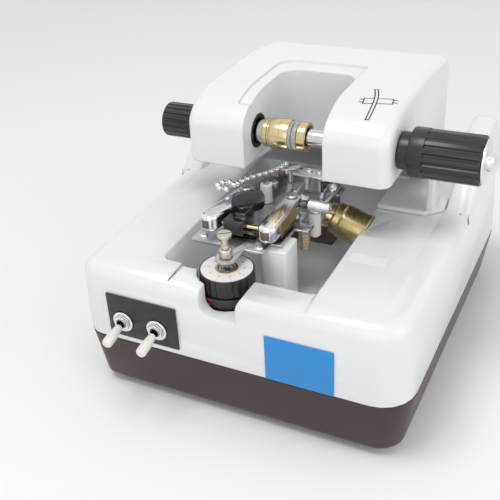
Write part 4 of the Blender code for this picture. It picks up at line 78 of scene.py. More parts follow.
# An outline drawn on this one is (y, z), and is extruded along x
SIDEWAYS = Matrix(((0, 0, 1, 0), (1, 0, 0, 0), (0, 1, 0, 0), (0, 0, 0, 1)))
GAP = 0.0003
OVERRUN = 0.001
DECK_Z = 0.0900
CLAMP_Y = 0.1000
CLAMP_Z = 0.1400
SPINDLE_Z = 0.0990
SPINDLE_TILT = math.radians(20.0)
SPINDLE = (HOME @ Matrix.Translation((0, CLAMP_Y, SPINDLE_Z))
           @ Matrix.Rotation(SPINDLE_TILT, 4, "Y") @ Matrix.Rotation(math.pi / 2, 4, "Y"))
SPINDLE_BORE = 0.0023
COLLAR_START = 0.0208
DRUM_START = 0.0258
DRUM_END = 0.0468
DRUM_RADIUS = 0.0107
DIAL_X = -0.0120
DIAL_Y = 0.0255
PLATE_TOP = 0.0970
ARM_LOW = 0.1000
ARM_TOP = 0.1100
PIVOT_Y = 0.0810
CROSS_ROD_Y = 0.0505
CROSS_ROD_Z = 0.1030
THUMB_SCREW_Z = 0.1062


# Values that a user would change

class GrooverSizes(bpy.types.PropertyGroup):
    """Sizes of the details that sit on the frame."""
    edge_softness: bpy.props.FloatProperty(
        name="Edge softness", description="Rounding of the body's edges",
        default=0.0007, min=0.0001, max=0.0020, unit="LENGTH")
    knob_grooves: bpy.props.IntProperty(
        name="Knob grooves", description="Grooves round each knob", default=18, min=8, max=40)
    knob_groove_depth: bpy.props.FloatProperty(
        name="Knob groove depth", description="Depth of the grooves in both knobs",
        default=0.0009, min=0.0002, max=0.0015, unit="LENGTH")
    dial_grooves: bpy.props.IntProperty(
        name="Dial grooves", description="Grooves round the depth dial",
        default=26, min=12, max=60)
    dial_marks: bpy.props.IntProperty(
        name="Dial marks", description="Radial marks on the dial's scale",
        default=10, min=5, max=50)
    figure_height: bpy.props.FloatProperty(
        name="Figure height", description="Height of the numbers on the dial",
        default=0.0022, min=0.0010, max=0.0045, unit="LENGTH")
    spring_turns: bpy.props.IntProperty(
        name="Spring turns", description="Turns of the thumb screw's spring",
        default=4, min=2, max=6)
    sticker_thickness: bpy.props.FloatProperty(
        name="Sticker thickness", description="Thickness of the blank sticker on the deck",
        default=0.0001, min=0.00005, max=0.0003, unit="LENGTH")


class GrooverColours(bpy.types.PropertyGroup):
    """Colours of the finishes."""
    moulding: bpy.props.FloatVectorProperty(
        name="Moulding", description="White of the cover and the head", subtype="COLOR",
        default=(0.790, 0.800, 0.815))
    base: bpy.props.FloatVectorProperty(
        name="Base", description="Dark brown of the lower half", subtype="COLOR",
        default=(0.044, 0.023, 0.026))
    knob: bpy.props.FloatVectorProperty(
        name="Knob", description="Brown black of the knobs and the dial", subtype="COLOR",
        default=(0.022, 0.016, 0.017))
    brass: bpy.props.FloatVectorProperty(
        name="Brass", description="Polished brass of the chucks, the collar and the cross rod",
        subtype="COLOR",
        default=(0.640, 0.530, 0.310))
    chrome: bpy.props.FloatVectorProperty(
        name="Chrome", description="Bright plating of arms and small parts", subtype="COLOR",
        default=(0.780, 0.780, 0.800))
    label: bpy.props.FloatVectorProperty(
        name="Label", description="Blue of the blank front label", subtype="COLOR",
        default=(0.016, 0.250, 0.640))
    marks: bpy.props.FloatVectorProperty(
        name="Red marks", description="Red of the line and the dot on the barrel",
        subtype="COLOR",
        default=(0.600, 0.030, 0.030))


# Finishes

# Sockets of a Mix node that mixes colours: their names are shared, so they are told by number
MIX_FACTOR, MIX_FIRST, MIX_SECOND, MIX_RESULT = 0, 6, 7, 2


def node_at(tree, kind, **values):
    """A new node with some of its inputs set."""
    made = tree.nodes.new(kind)
    for key, value in values.items():
        made.inputs[key.replace("_", " ")].default_value = value
    return made


def surface(name, colour, roughness, metallic=0.0, mottle=(30.0, 0.06), wear=0.06, grain=None,
            edge=0.0004, stretch=(1, 1, 1), coat=0.0, clear=0.0, cells=False):
    """A finish with its own mottling, its changing gloss, its grain and its rounded edges.

    mottle is (scale, share of the colour), and grain is (scale, depth in metres).
    """
    made = bpy.data.materials.new(name)
    made.use_nodes = True
    tree = made.node_tree
    shader = tree.nodes["Principled BSDF"]
    shader.inputs["Metallic"].default_value = metallic
    shader.inputs["Coat Weight"].default_value = coat
    shader.inputs["Coat Roughness"].default_value = 0.08
    shader.inputs["Transmission Weight"].default_value = clear
    place = tree.nodes.new("ShaderNodeTexCoord")
    scaled = node_at(tree, "ShaderNodeMapping", Scale=stretch)
    tree.links.new(place.outputs["Object"], scaled.inputs["Vector"])
    scale, share = mottle
    broad = node_at(tree, "ShaderNodeTexNoise", Scale=scale, Detail=4.0, Roughness=0.6)
    tree.links.new(scaled.outputs["Vector"], broad.inputs["Vector"])
    tint = tree.nodes.new("ShaderNodeMix")
    tint.data_type = "RGBA"
    tint.inputs[MIX_FIRST].default_value = (*[min(value * (1 + share), 1) for value in colour], 1)
    tint.inputs[MIX_SECOND].default_value = (*[value * (1 - share) for value in colour], 1)
    tree.links.new(broad.outputs["Fac"], tint.inputs[MIX_FACTOR])
    tree.links.new(tint.outputs[MIX_RESULT], shader.inputs["Base Color"])
    fine = node_at(tree, "ShaderNodeTexNoise", Scale=scale * 7, Detail=6.0, Roughness=0.65)
    tree.links.new(scaled.outputs["Vector"], fine.inputs["Vector"])
    gloss = node_at(tree, "ShaderNodeMapRange", To_Min=max(roughness - wear, 0.02),
                    To_Max=roughness + wear)
    tree.links.new(fine.outputs["Fac"], gloss.inputs["Value"])
    tree.links.new(gloss.outputs["Result"], shader.inputs["Roughness"])
    rounding = node_at(tree, "ShaderNodeBevel", Radius=edge)
    rounding.samples = 4
    normal = rounding.outputs["Normal"]
    if grain:
        kind = "ShaderNodeTexVoronoi" if cells else "ShaderNodeTexNoise"
        pattern = node_at(tree, kind, Scale=grain[0])
        tree.links.new(scaled.outputs["Vector"], pattern.inputs["Vector"])
        relief = node_at(tree, "ShaderNodeBump", Strength=1.0, Distance=grain[1])
        height = pattern.outputs["Distance" if cells else "Fac"]
        tree.links.new(height, relief.inputs["Height"])
        tree.links.new(normal, relief.inputs["Normal"])
        normal = relief.outputs["Normal"]
    tree.links.new(normal, shader.inputs["Normal"])
    return made


def banded(name, colour, other, roughness, metallic, scale, direction="X"):
    """A finish of even stripes, such as laminations or circuit tracks."""
    made = surface(name, colour, roughness, metallic, (60.0, 0.1), 0.08)
    tree = made.node_tree
    shader = tree.nodes["Principled BSDF"]
    place = tree.nodes.new("ShaderNodeTexCoord")
    wave = node_at(tree, "ShaderNodeTexWave", Scale=scale, Distortion=0.0)
    wave.bands_direction = direction
    tree.links.new(place.outputs["Object"], wave.inputs["Vector"])
    blend = tree.nodes.new("ShaderNodeMix")
    blend.data_type = "RGBA"
    blend.inputs[MIX_SECOND].default_value = (*other, 1)
    tree.links.new(wave.outputs["Fac"], blend.inputs[MIX_FACTOR])
    tree.links.new(shader.inputs["Base Color"].links[0].from_socket, blend.inputs[MIX_FIRST])
    tree.links.new(blend.outputs[MIX_RESULT], shader.inputs["Base Color"])
    return made


FINISHES = {}


def make_finishes(colours):
    """Every finish of the machine, by its plain name."""
    FINISHES.update(
        moulding=surface("gloss white moulding", colours.moulding, 0.26, mottle=(9.0, 0.012),
                         wear=0.04, grain=(900.0, 0.000004), edge=0.0012, coat=0.25),
        base=surface("dark brown moulding", colours.base, 0.34, mottle=(40.0, 0.15),
                     grain=(1800.0, 0.000012), edge=0.0010),
        rubber=surface("black rubber", (0.018, 0.018, 0.018), 0.80, mottle=(120.0, 0.2),
                       grain=(3000.0, 0.00002)),
        knob=surface("knob plastic", colours.knob, 0.30, mottle=(60.0, 0.18), wear=0.07,
                     grain=(2600.0, 0.000008), edge=0.0005),
        gloss_black=surface("gloss black plastic", (0.012, 0.011, 0.012), 0.16,
                            mottle=(50.0, 0.15), wear=0.05, coat=0.4, edge=0.0006),
        panel=surface("black panel", (0.020, 0.019, 0.020), 0.38, mottle=(80.0, 0.2),
                      grain=(4000.0, 0.000006)),
        label=surface("blank blue label", colours.label, 0.32, mottle=(50.0, 0.05), edge=0.0001),
        sticker=surface("blank white sticker", (0.83, 0.82, 0.80), 0.55, mottle=(60.0, 0.03),
                        edge=0.0001),
        chrome=surface("chrome plate", colours.chrome, 0.12, 1.0, (70.0, 0.05), 0.06,
                       grain=(300.0, 0.00001), edge=0.0003),
        ivory=surface("ivory sleeve", (0.80, 0.79, 0.75), 0.34, mottle=(90.0, 0.04)),
        scale=surface("white scale", (0.82, 0.82, 0.81), 0.40, mottle=(90.0, 0.03),
                      edge=0.0001),
        marks=surface("red marks", colours.marks, 0.45, mottle=(200.0, 0.1), edge=0.00005),
        faint=surface("faint red marks", (0.62, 0.26, 0.24), 0.45, mottle=(200.0, 0.1),
                      edge=0.00005),
        bronze=surface("bronze panel", (0.50, 0.34, 0.15), 0.30, 1.0, (60.0, 0.14), 0.10,
                       grain=(900.0, 0.00001), stretch=(1, 12, 1), edge=0.0003),
        nickel=surface("warm nickel", (0.62, 0.57, 0.48), 0.22, 1.0, (80.0, 0.10), 0.08,
                       grain=(900.0, 0.00001), edge=0.0003),
        ink=surface("black ink", (0.012, 0.012, 0.013), 0.50, mottle=(200.0, 0.1),
                    edge=0.00005),
        steel=surface("ground steel", (0.50, 0.50, 0.51), 0.26, 1.0, (45.0, 0.18), 0.12,
                      grain=(900.0, 0.00001), stretch=(1, 12, 1), edge=0.0003),
        polished=surface("polished steel", (0.62, 0.62, 0.63), 0.14, 1.0, (60.0, 0.10), 0.06,
                         grain=(700.0, 0.000006), stretch=(14, 1, 1), edge=0.0003),
        dark_steel=surface("blackened steel", (0.190, 0.150, 0.132), 0.42, 0.85, (70.0, 0.25),
                           0.10, grain=(1200.0, 0.00001)),
        brass=surface("polished brass", colours.brass, 0.20, 1.0, (60.0, 0.10), 0.08,
                      grain=(900.0, 0.000008), stretch=(16, 1, 1), edge=0.0003),
        drum=surface("turned brass", (0.46, 0.37, 0.18), 0.26, 1.0, (50.0, 0.16), 0.10,
                     grain=(1000.0, 0.00001), stretch=(12, 1, 1), edge=0.0004),
        knurl=surface("stippled silver", (0.62, 0.62, 0.63), 0.30, 0.95, (800.0, 0.40), 0.08,
                      grain=(1500.0, 0.00016), cells=True),
        silver=surface("silver plate", (0.74, 0.74, 0.75), 0.24, 0.95, (80.0, 0.08), 0.08,
                       grain=(900.0, 0.00001)),
        nylon=surface("white nylon", (0.80, 0.81, 0.79), 0.42, mottle=(80.0, 0.05),
                      grain=(1500.0, 0.00001)),
        pad=surface("clear pad", (0.80, 0.82, 0.74), 0.22, mottle=(120.0, 0.06), clear=0.60,
                    wear=0.05),
        grit=surface("diamond grit", (0.40, 0.39, 0.37), 0.55, 0.5, (500.0, 0.30), 0.15,
                     grain=(4500.0, 0.00006), cells=True, edge=0.0001),
        laminations=banded("laminated core", (0.10, 0.10, 0.11), (0.22, 0.21, 0.20), 0.45, 0.6,
                           300.0, "Y"),
        board=banded("circuit board", (0.03, 0.16, 0.07), (0.05, 0.26, 0.11), 0.40, 0.0, 120.0),
    )


# Modelling steps shared by the pieces

SAME_PLACE = 0.000002
SEAM = 0.000004
FLAT = math.radians(1.0)
# How far in from the rim a groove takes points along, in groove depths
GROOVE_REACH = 2.2


def pick(piece):
    """Select one object and nothing else."""
    if bpy.context.object and bpy.context.object.mode != "OBJECT":
        bpy.ops.object.mode_set(mode="OBJECT")
    bpy.ops.object.select_all(action="DESELECT")
    if piece:
        piece.hide_set(False)
        piece.select_set(True)
        bpy.context.view_layer.objects.active = piece


def settle(piece, matrix=None):
    """Move a piece to its place and leave it unturned at the origin."""
    pick(piece)
    if matrix is not None:
        piece.matrix_world = matrix @ piece.matrix_world
    bpy.ops.object.transform_apply(location=True, rotation=True, scale=True)
    return piece


def named(piece, name):
    """Give a piece and its mesh one name."""
    piece.name = name
    piece.data.name = name
    return piece


def turned(name, profile, axis, steps=48, ring=False, grooves=None):
    """Turn a profile of (radius, height), extruded circle by circle and drawn in or out.

    A ring has a hole through it, and its last point is its first.
    grooves is (count, depth, low, high, share of the pitch).
    """
    pick(None)
    radius, height = profile[0]
    bpy.ops.mesh.primitive_circle_add(vertices=steps, radius=radius,
                                      fill_type="NOTHING" if ring else "NGON",
                                      location=(0, 0, height))
    piece = settle(bpy.context.object)
    bpy.ops.object.mode_set(mode="EDIT")
    bpy.ops.mesh.select_all(action="SELECT")
    for next_radius, next_height in profile[1:]:
        bpy.ops.mesh.extrude_region_move(
            TRANSFORM_OT_translate={"value": (0, 0, next_height - height)})
        share = next_radius / radius
        bpy.ops.transform.resize(value=(share, share, 1), center_override=(0, 0, next_height))
        radius, height = next_radius, next_height
    bpy.ops.mesh.select_all(action="SELECT")
    bpy.ops.mesh.remove_doubles(threshold=SAME_PLACE)
    bpy.ops.mesh.normals_make_consistent(inside=False)
    if grooves:
        count, depth, low, high, share = grooves
        outer = max(point[0] for point in profile)
        mesh = bmesh.from_edit_mesh(piece.data)
        bpy.ops.mesh.select_all(action="DESELECT")
        for vert in mesh.verts:
            phase = math.atan2(vert.co.y, vert.co.x) * count / (2 * math.pi) % 1.0
            inside = abs(phase - 0.5) < share / 2
            rim = math.hypot(vert.co.x, vert.co.y) > outer - GROOVE_REACH * depth
            vert.select = inside and rim and low <= vert.co.z <= high
        mesh.select_flush_mode()
        bmesh.update_edit_mesh(piece.data)
        bpy.ops.transform.resize(value=(1 - depth / outer, 1 - depth / outer, 1),
                                 center_override=(0, 0, 0))
    bpy.ops.object.mode_set(mode="OBJECT")
    return named(settle(piece, axis), name)


def drawn(name, outline, low, high, axis):
    """Draw an outline point by point and extrude it."""
    pick(None)
    bpy.ops.mesh.primitive_circle_add(vertices=len(outline), radius=0.01, fill_type="NGON")
    piece = bpy.context.object
    bpy.ops.object.mode_set(mode="EDIT")
    mesh = bmesh.from_edit_mesh(piece.data)
    for vert, (x, y) in zip(mesh.verts, outline):
        vert.co = (x, y, low)
    bmesh.update_edit_mesh(piece.data)
    bpy.ops.mesh.select_all(action="SELECT")
    bpy.ops.mesh.extrude_region_move(TRANSFORM_OT_translate={"value": (0, 0, high - low)})
    bpy.ops.mesh.select_all(action="SELECT")
    bpy.ops.mesh.normals_make_consistent(inside=False)
    bpy.ops.object.mode_set(mode="OBJECT")
    return named(settle(piece, axis), name)


def block(name, low, high, axis=HOME):
    """A bar between two corners."""
    outline = [(low[0], low[1]), (high[0], low[1]), (high[0], high[1]), (low[0], high[1])]
    return drawn(name, outline, low[2], high[2], axis)


def apply_all(piece):
    """Apply every modifier of a piece."""
    pick(piece)
    for step in list(piece.modifiers):
        bpy.ops.object.modifier_apply(modifier=step.name)
    return piece


def rounded(piece, width, segments=3, angle=35.0, clamp=True):
    """Round the edges that are sharper than an angle."""
    step = piece.modifiers.new("round", "BEVEL")
    step.width = width
    step.segments = segments
    step.limit_method = "ANGLE"
    step.angle_limit = math.radians(angle)
    step.use_clamp_overlap = clamp
    return apply_all(piece)


def joined_with(piece, tools, operation="DIFFERENCE"):
    """Cut other pieces from a piece, or merge them with it, and remove them."""
    for tool in tools:
        step = piece.modifiers.new("shape", "BOOLEAN")
        step.operation = operation
        step.object = tool
        apply_all(piece)
        bpy.data.objects.remove(tool)
    return piece


def together(name, pieces):
    """Several loose solids as one piece."""
    pick(pieces[0])
    for piece in pieces[1:]:
        piece.select_set(True)
    bpy.ops.object.join()
    return named(bpy.context.object, name)


def repeated(piece, name, matrix):
    """A copy of a piece with its own mesh, moved to its place."""
    twin = piece.copy()
    twin.data = piece.data.copy()
    bpy.context.scene.collection.objects.link(twin)
    return named(settle(twin, matrix), name)


def dressed(node, width, segments=2, angle=38.0, clamp=True):
    """A copy of a frame node's form with its seams closed and its edges rounded."""
    piece = frame["nodes"][node].copy()
    piece.data = piece.data.copy()
    bpy.context.scene.collection.objects.link(piece)
    piece.parent = None
    piece.matrix_world = Matrix.Identity(4)
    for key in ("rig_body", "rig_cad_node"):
        if key in piece:
            del piece[key]
    named(piece, node + ".finished")
    pick(piece)
    bpy.ops.object.mode_set(mode="EDIT")
    bpy.ops.mesh.select_all(action="SELECT")
    bpy.ops.mesh.remove_doubles(threshold=SEAM)
    bpy.ops.mesh.dissolve_limited(angle_limit=FLAT)
    bpy.ops.mesh.select_all(action="SELECT")
    bpy.ops.mesh.normals_make_consistent(inside=False)
    bpy.ops.object.mode_set(mode="OBJECT")
    if width:
        rounded(piece, width, segments, angle, clamp)
    return piece


def finished(piece, finish, body, slot, *nodes, smooth=32.0):
    """Give a piece its finish and its body, and hide the frame nodes that it stands for; its slot
    is not used.
    """
    pick(piece)
    bpy.ops.object.shade_smooth_by_angle(angle=math.radians(smooth))
    piece.data.materials.clear()
    piece.data.materials.append(FINISHES[finish])
    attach(piece, body)
    if nodes:
        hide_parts(*nodes)
    return piece


def coated(node, finish):
    """Give a frame node that is kept its finish."""
    mesh = frame["nodes"][node].data
    mesh.materials.clear()
    mesh.materials.append(FINISHES[finish])


def arc(centre_x, centre_y, radius, start, end, steps=10, stretch=1.0):
    """Points along an arc, in degrees; its height can be stretched."""
    points = []
    for step in range(steps + 1):
        turn = math.radians(start + (end - start) * step / steps)
        points.append((centre_x + radius * math.cos(turn),
                       centre_y + radius * stretch * math.sin(turn)))
    return points


def corners(left, right, front, rear, radii, steps=6):
    """A rectangle with its own radius at each corner, from front left round to rear left."""
    front_left, front_right, rear_right, rear_left = radii
    return (arc(left + front_left, front + front_left, front_left, 180, 270, steps)
            + arc(right - front_right, front + front_right, front_right, 270, 360, steps)
            + arc(right - rear_right, rear - rear_right, rear_right, 0, 90, steps)
            + arc(left + rear_left, rear - rear_left, rear_left, 90, 180, steps))


def upright(x, y, z=0.0):
    """A vertical axis in the machine's frame."""
    return HOME @ Matrix.Translation((x, y, z))


def along_x(y, z, x=0.0):
    """An axis from left to right."""
    return HOME @ Matrix.Translation((x, y, z)) @ Matrix.Rotation(math.pi / 2, 4, "Y")


def reach_x(node):
    """Where a node starts and ends from left to right, in the machine's frame."""
    low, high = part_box(node)
    return low.x - HOME.translation.x, high.x - HOME.translation.x


def reach_z(node):
    """Where a node starts and ends in height."""
    low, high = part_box(node)
    return low.z, high.z


def pan_screw(name, x, y, z, radius, body, slot, turn=0.0):
    """A small pan head with a cross recess."""
    head = turned(name, [(radius, 0), (radius, radius * 0.25), (radius * 0.86, radius * 0.45),
                         (radius * 0.55, radius * 0.58), (radius * 0.2, radius * 0.62)],
                  upright(x, y, z), 28)
    arm = radius * 0.62
    slit = radius * 0.13
    floor = radius * 0.3
    cross = upright(x, y, z) @ Matrix.Rotation(turn, 4, "Z")
    tools = [block("recess", (-across, -deep, floor), (across, deep, radius), cross)
             for across, deep in ((arm, slit), (slit, arm))]
    finished(joined_with(head, tools), "silver", body, slot)


# Operators: one for each piece or group of like pieces

class GROOVER_OT_finishes(bpy.types.Operator):
    """Make every finish of the machine"""
    bl_idname = "groover.finishes"
    bl_label = "Finishes"

    def execute(self, context):
        make_finishes(context.scene.groover_colours)
        return {"FINISHED"}


class GROOVER_OT_body(bpy.types.Operator):
    """Round the cover, the base and the rest bracket, and lay the blank sticker on the deck"""
    bl_idname = "groover.body"
    bl_label = "Body"

    def execute(self, context):
        sizes = context.scene.groover_sizes
        soft = sizes.edge_softness
        finished(self.cover(soft), "moulding", "machine_body", "white_moulding", "top_cover",
                 smooth=40)
        finished(dressed("base_tray", soft, 2, 40, False), "base", "machine_body",
                 "dark_moulding", "base_tray", smooth=40)
        finished(dressed("rest_bracket", soft, 2), "moulding", "machine_body",
                 "white_moulding", "rest_bracket")
        left, right, front, rear = 0.0480, 0.0690, 0.0560, 0.0650
        sticker = drawn("deck_sticker", corners(left, right, front, rear, [0.0008] * 4, 3),
                        DECK_Z, DECK_Z + sizes.sticker_thickness, HOME)
        finished(sticker, "sticker", "machine_body", "white_scale")
        return {"FINISHED"}

    def cover(self, soft):
        """The white cover, with the deck whole beyond the drum's end and room for the drum."""
        cover = dressed("top_cover", soft, 2, 50, False)
        left, right, front, rear = 0.0443, 0.0600, 0.0850, 0.1150
        low = 0.0780
        # The infill's top lies this far above the deck: a union loses faces that share a plane
        lift = 0.000005
        infill = block("infill", (left, front, low), (right, rear, DECK_Z + lift))
        joined_with(cover, [infill], "UNION")
        radius = DRUM_RADIUS + GAP
        room = turned("room", [(radius, 0.0300), (radius, DRUM_END + GAP)], SPINDLE, 72)
        return joined_with(cover, [room])


class GROOVER_OT_feet(bpy.types.Operator):
    """Turn one rubber foot and copy it to the four corners"""
    bl_idname = "groover.feet"
    bl_label = "Feet"

    def execute(self, context):
        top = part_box("rubber_foot_1")[1].z
        bore = 0.0019
        recess = 0.0022
        profile = [(bore, recess), (0.0042, recess), (0.0044, 0.0), (0.0082, 0.0),
                   (0.0090, 0.0007), (0.0091, top - 0.0005), (0.0090, top), (bore, top),
                   (bore, recess)]
        first = turned("foot", profile, Matrix.Identity(4), 40, True)
        for number in range(1, 5):
            low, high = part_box(f"rubber_foot_{number}")
            spot = (low + high) / 2
            foot = repeated(first, f"rubber_foot_{number}.finished",
                            Matrix.Translation((spot.x, spot.y, 0)))
            finished(foot, "rubber", "machine_body", "feet_rubber", f"rubber_foot_{number}")
        bpy.data.objects.remove(first)
        return {"FINISHED"}


class GROOVER_OT_front(bpy.types.Operator):
    """Make the switch panel, the blank label and both toggle switches"""
    bl_idname = "groover.front"
    bl_label = "Front panel"

    def execute(self, context):
        finished(dressed("switch_panel", 0.00025), "panel", "machine_body", "black_plastic",
                 "switch_panel")
        finished(dressed("front_label", 0.00015), "label", "machine_body", "blue_label",
                 "front_label")
        for side, body in (("lens", "lens_switch"), ("wheel", "wheel_switch")):
            low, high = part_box(side + "_switch_nut")
            spot = (low + high) / 2
            axis = Matrix.Translation((spot.x, 0, spot.z)) @ Matrix.Rotation(-math.pi / 2, 4, "X")
            face = low.y
            seat = high.y
            bore = 0.0033
            washer_face = seat - 0.0007
            washer = turned(side + "_switch_washer",
                            [(bore, washer_face), (0.0066, washer_face), (0.0066, seat),
                             (bore, seat), (bore, washer_face)], axis, 48, True)
            finished(rounded(washer, 0.00015, 2), "chrome", "machine_body", "chrome",
                     side + "_switch_nut")
            nut_back = seat - 0.0009
            nut = turned(side + "_switch_hexagon",
                         [(bore, face), (0.0052, face), (0.0052, nut_back), (bore, nut_back),
                          (bore, face)], axis, 6, True)
            finished(rounded(nut, 0.0003, 2, 30), "chrome", "machine_body", "chrome",
                     side + "_switch_nut", smooth=25)
            coated(side + "_switch_body", "panel")
            self.thread(side, axis)
            self.lever(side, body, spot)
        return {"FINISHED"}

    def thread(self, side, axis):
        """Four rings that stand for the thread at the bushing's end."""
        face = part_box(side + "_switch_body")[0].y
        bore = 0.0024
        pitch = 0.00045
        rings = [(bore, face)]
        for step in range(4):
            start = face + 0.0001 + step * pitch
            rings += [(0.0030, start), (0.0030, start + 0.0002), (0.0028, start + 0.0003)]
        rings += [(bore, face + 0.0020), (bore, face)]
        finished(turned(side + "_switch_thread", rings, axis, 40, True), "chrome",
                 "machine_body", "chrome")

    def lever(self, side, body, spot):
        """A turned, sleeved lever, tilted down from its pivot just before the front face."""
        tilt = math.radians(9.0)
        pivot_y = HOME.translation.y - 0.0004
        reach = 0.0213
        lean = (Matrix.Translation((spot.x, pivot_y, spot.z))
                @ Matrix.Rotation(math.pi / 2 + tilt, 4, "X"))
        stem = turned(side + "_switch_stem",
                      [(0.0011, -0.0030), (0.0011, -0.0009), (0.0017, 0.0), (0.0011, 0.0009),
                       (0.0011, 0.0064)], lean, 24)
        finished(stem, "chrome", body, "chrome")
        sleeve = turned(side + "_switch_sleeve",
                        [(0.0016, 0.0060), (0.0021, 0.0060), (0.0023, 0.0063),
                         (0.0024, 0.0080), (0.0028, 0.0112), (0.0031, reach * 0.62),
                         (0.0031, reach * 0.90), (0.0029, reach * 0.94),
                         (0.0025, reach * 0.97), (0.0016, reach * 0.992),
                         (0.0006, reach * 0.999)], lean, 36)
        finished(sleeve, "ivory", body, "ivory_sleeve", side + "_switch_lever", smooth=50)


class GROOVER_OT_dial(bpy.types.Operator):
    """Turn the depth dial with its scale, figures, ring, barrel and lift pin"""
    bl_idname = "groover.dial"
    bl_label = "Depth dial"

    def execute(self, context):
        sizes = context.scene.groover_sizes
        axis = upright(DIAL_X, DIAL_Y)
        low = 0.0783
        top = DECK_Z
        seat = top - 0.0009
        hub_low = low - 0.0110
        bore = 0.0049
        radius = 0.0158
        groove_depth = 0.0006
        profile = [(bore, hub_low), (0.0066, hub_low), (0.0066, low), (0.0148, low),
                   (radius, low + 0.0008), (radius, top - 0.0010), (0.0156, top - 0.0004),
                   (0.0153, top), (0.0151, top), (0.0151, seat), (bore, seat), (bore, hub_low)]
        rim = turned("depth_dial.finished", profile, axis, sizes.dial_grooves * 6, True,
                     (sizes.dial_grooves, groove_depth, low + 0.0007, top - 0.0008, 0.55))
        finished(rim, "knob", "dial", "black_plastic", "depth_dial", smooth=55)
        disc = turned("dial_scale.finished",
                      [(bore, top - 0.0006), (0.0148, top - 0.0006), (0.0148, top - 0.0001),
                       (0.0147, top), (0.0060, top), (bore, top - 0.0001),
                       (bore, top - 0.0006)], axis, 96, True)
        finished(disc, "scale", "dial", "white_scale", "dial_scale")
        self.marks(sizes, axis, top)
        collar = turned("dial_centre_ring", [(0.0050, top), (0.0066, top), (0.0064, top + 0.0003),
                                             (0.0052, top + 0.0003), (0.0050, top)],
                        axis, 48, True)
        finished(collar, "bronze", "dial", "brass")
        self.pin_and_barrel()
        return {"FINISHED"}

    def pin_and_barrel(self):
        """The lift pin, and the barrel with its red dot and line."""
        axis = upright(DIAL_X, DIAL_Y)
        pin_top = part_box("lift_pin")[1].z
        pin = turned("lift_pin.finished",
                     [(0.0042, pin_top - 0.0110), (0.0046, pin_top - 0.0106),
                      (0.0046, pin_top - 0.0003), (0.0043, pin_top), (0.0034, pin_top),
                      (0.0031, pin_top - 0.0012)], axis, 40)
        finished(pin, "steel", "dial_pin", "ground_steel", "lift_pin")
        barrel_low, barrel_top = reach_z("dial_barrel")
        barrel = turned("dial_barrel.finished",
                        [(0.0156, barrel_low), (0.0160, barrel_low + 0.0004),
                         (0.0160, barrel_top - 0.0004), (0.0157, barrel_top),
                         (0.0070, barrel_top), (0.0070, barrel_low + 0.0020)], axis, 80)
        finished(barrel, "gloss_black", "machine_body", "black_plastic", "dial_barrel")
        dot_angle = math.radians(-19)
        dot_depth = 0.0159
        dot = turned("barrel_dot", [(0.0015, 0), (0.0015, 0.00025), (0.0010, 0.0005)],
                     upright(DIAL_X, DIAL_Y, barrel_top - 0.0045)
                     @ Matrix.Rotation(dot_angle, 4, "Z")
                     @ Matrix.Translation((0, -dot_depth, 0))
                     @ Matrix.Rotation(math.pi / 2, 4, "X"), 28)
        finished(dot, "marks", "machine_body", "white_scale")
        line_start, line_end = -120, -98
        line = drawn("barrel_line", arc(0, 0, 0.01612, line_start, line_end, 12)
                     + arc(0, 0, 0.0158, line_end, line_start, 12), barrel_top - 0.0016,
                     barrel_top - 0.0006, axis)
        finished(line, "marks", "machine_body", "white_scale")

    def marks(self, sizes, axis, top):
        """Radial marks and the ten figures."""
        count = sizes.dial_marks
        half, inner, outer, height = 0.0001, 0.0120, 0.0145, 0.00006
        ticks = []
        for number in range(count):
            turn = axis @ Matrix.Rotation(2 * math.pi * number / count, 4, "Z")
            ticks.append(block("tick", (-half, inner, top), (half, outer, top + height), turn))
        finished(together("dial_ticks", ticks), "faint", "dial", "white_scale")
        raised = 0.00003
        ring = 0.0099
        figures = []
        for number in range(10):
            pick(None)
            bpy.ops.object.text_add()
            figure = bpy.context.object
            figure.data.body = str(number)
            figure.data.size = sizes.figure_height * 1.3
            figure.data.extrude = raised
            figure.data.align_x = "CENTER"
            figure.data.align_y = "CENTER"
            bpy.ops.object.convert(target="MESH")
            turn = axis @ Matrix.Rotation(2 * math.pi * number / 10, 4, "Z")
            figures.append(settle(bpy.context.object,
                                  turn @ Matrix.Translation((0, ring, top + raised))))
        finished(together("dial_figures", figures), "faint", "dial", "white_scale")


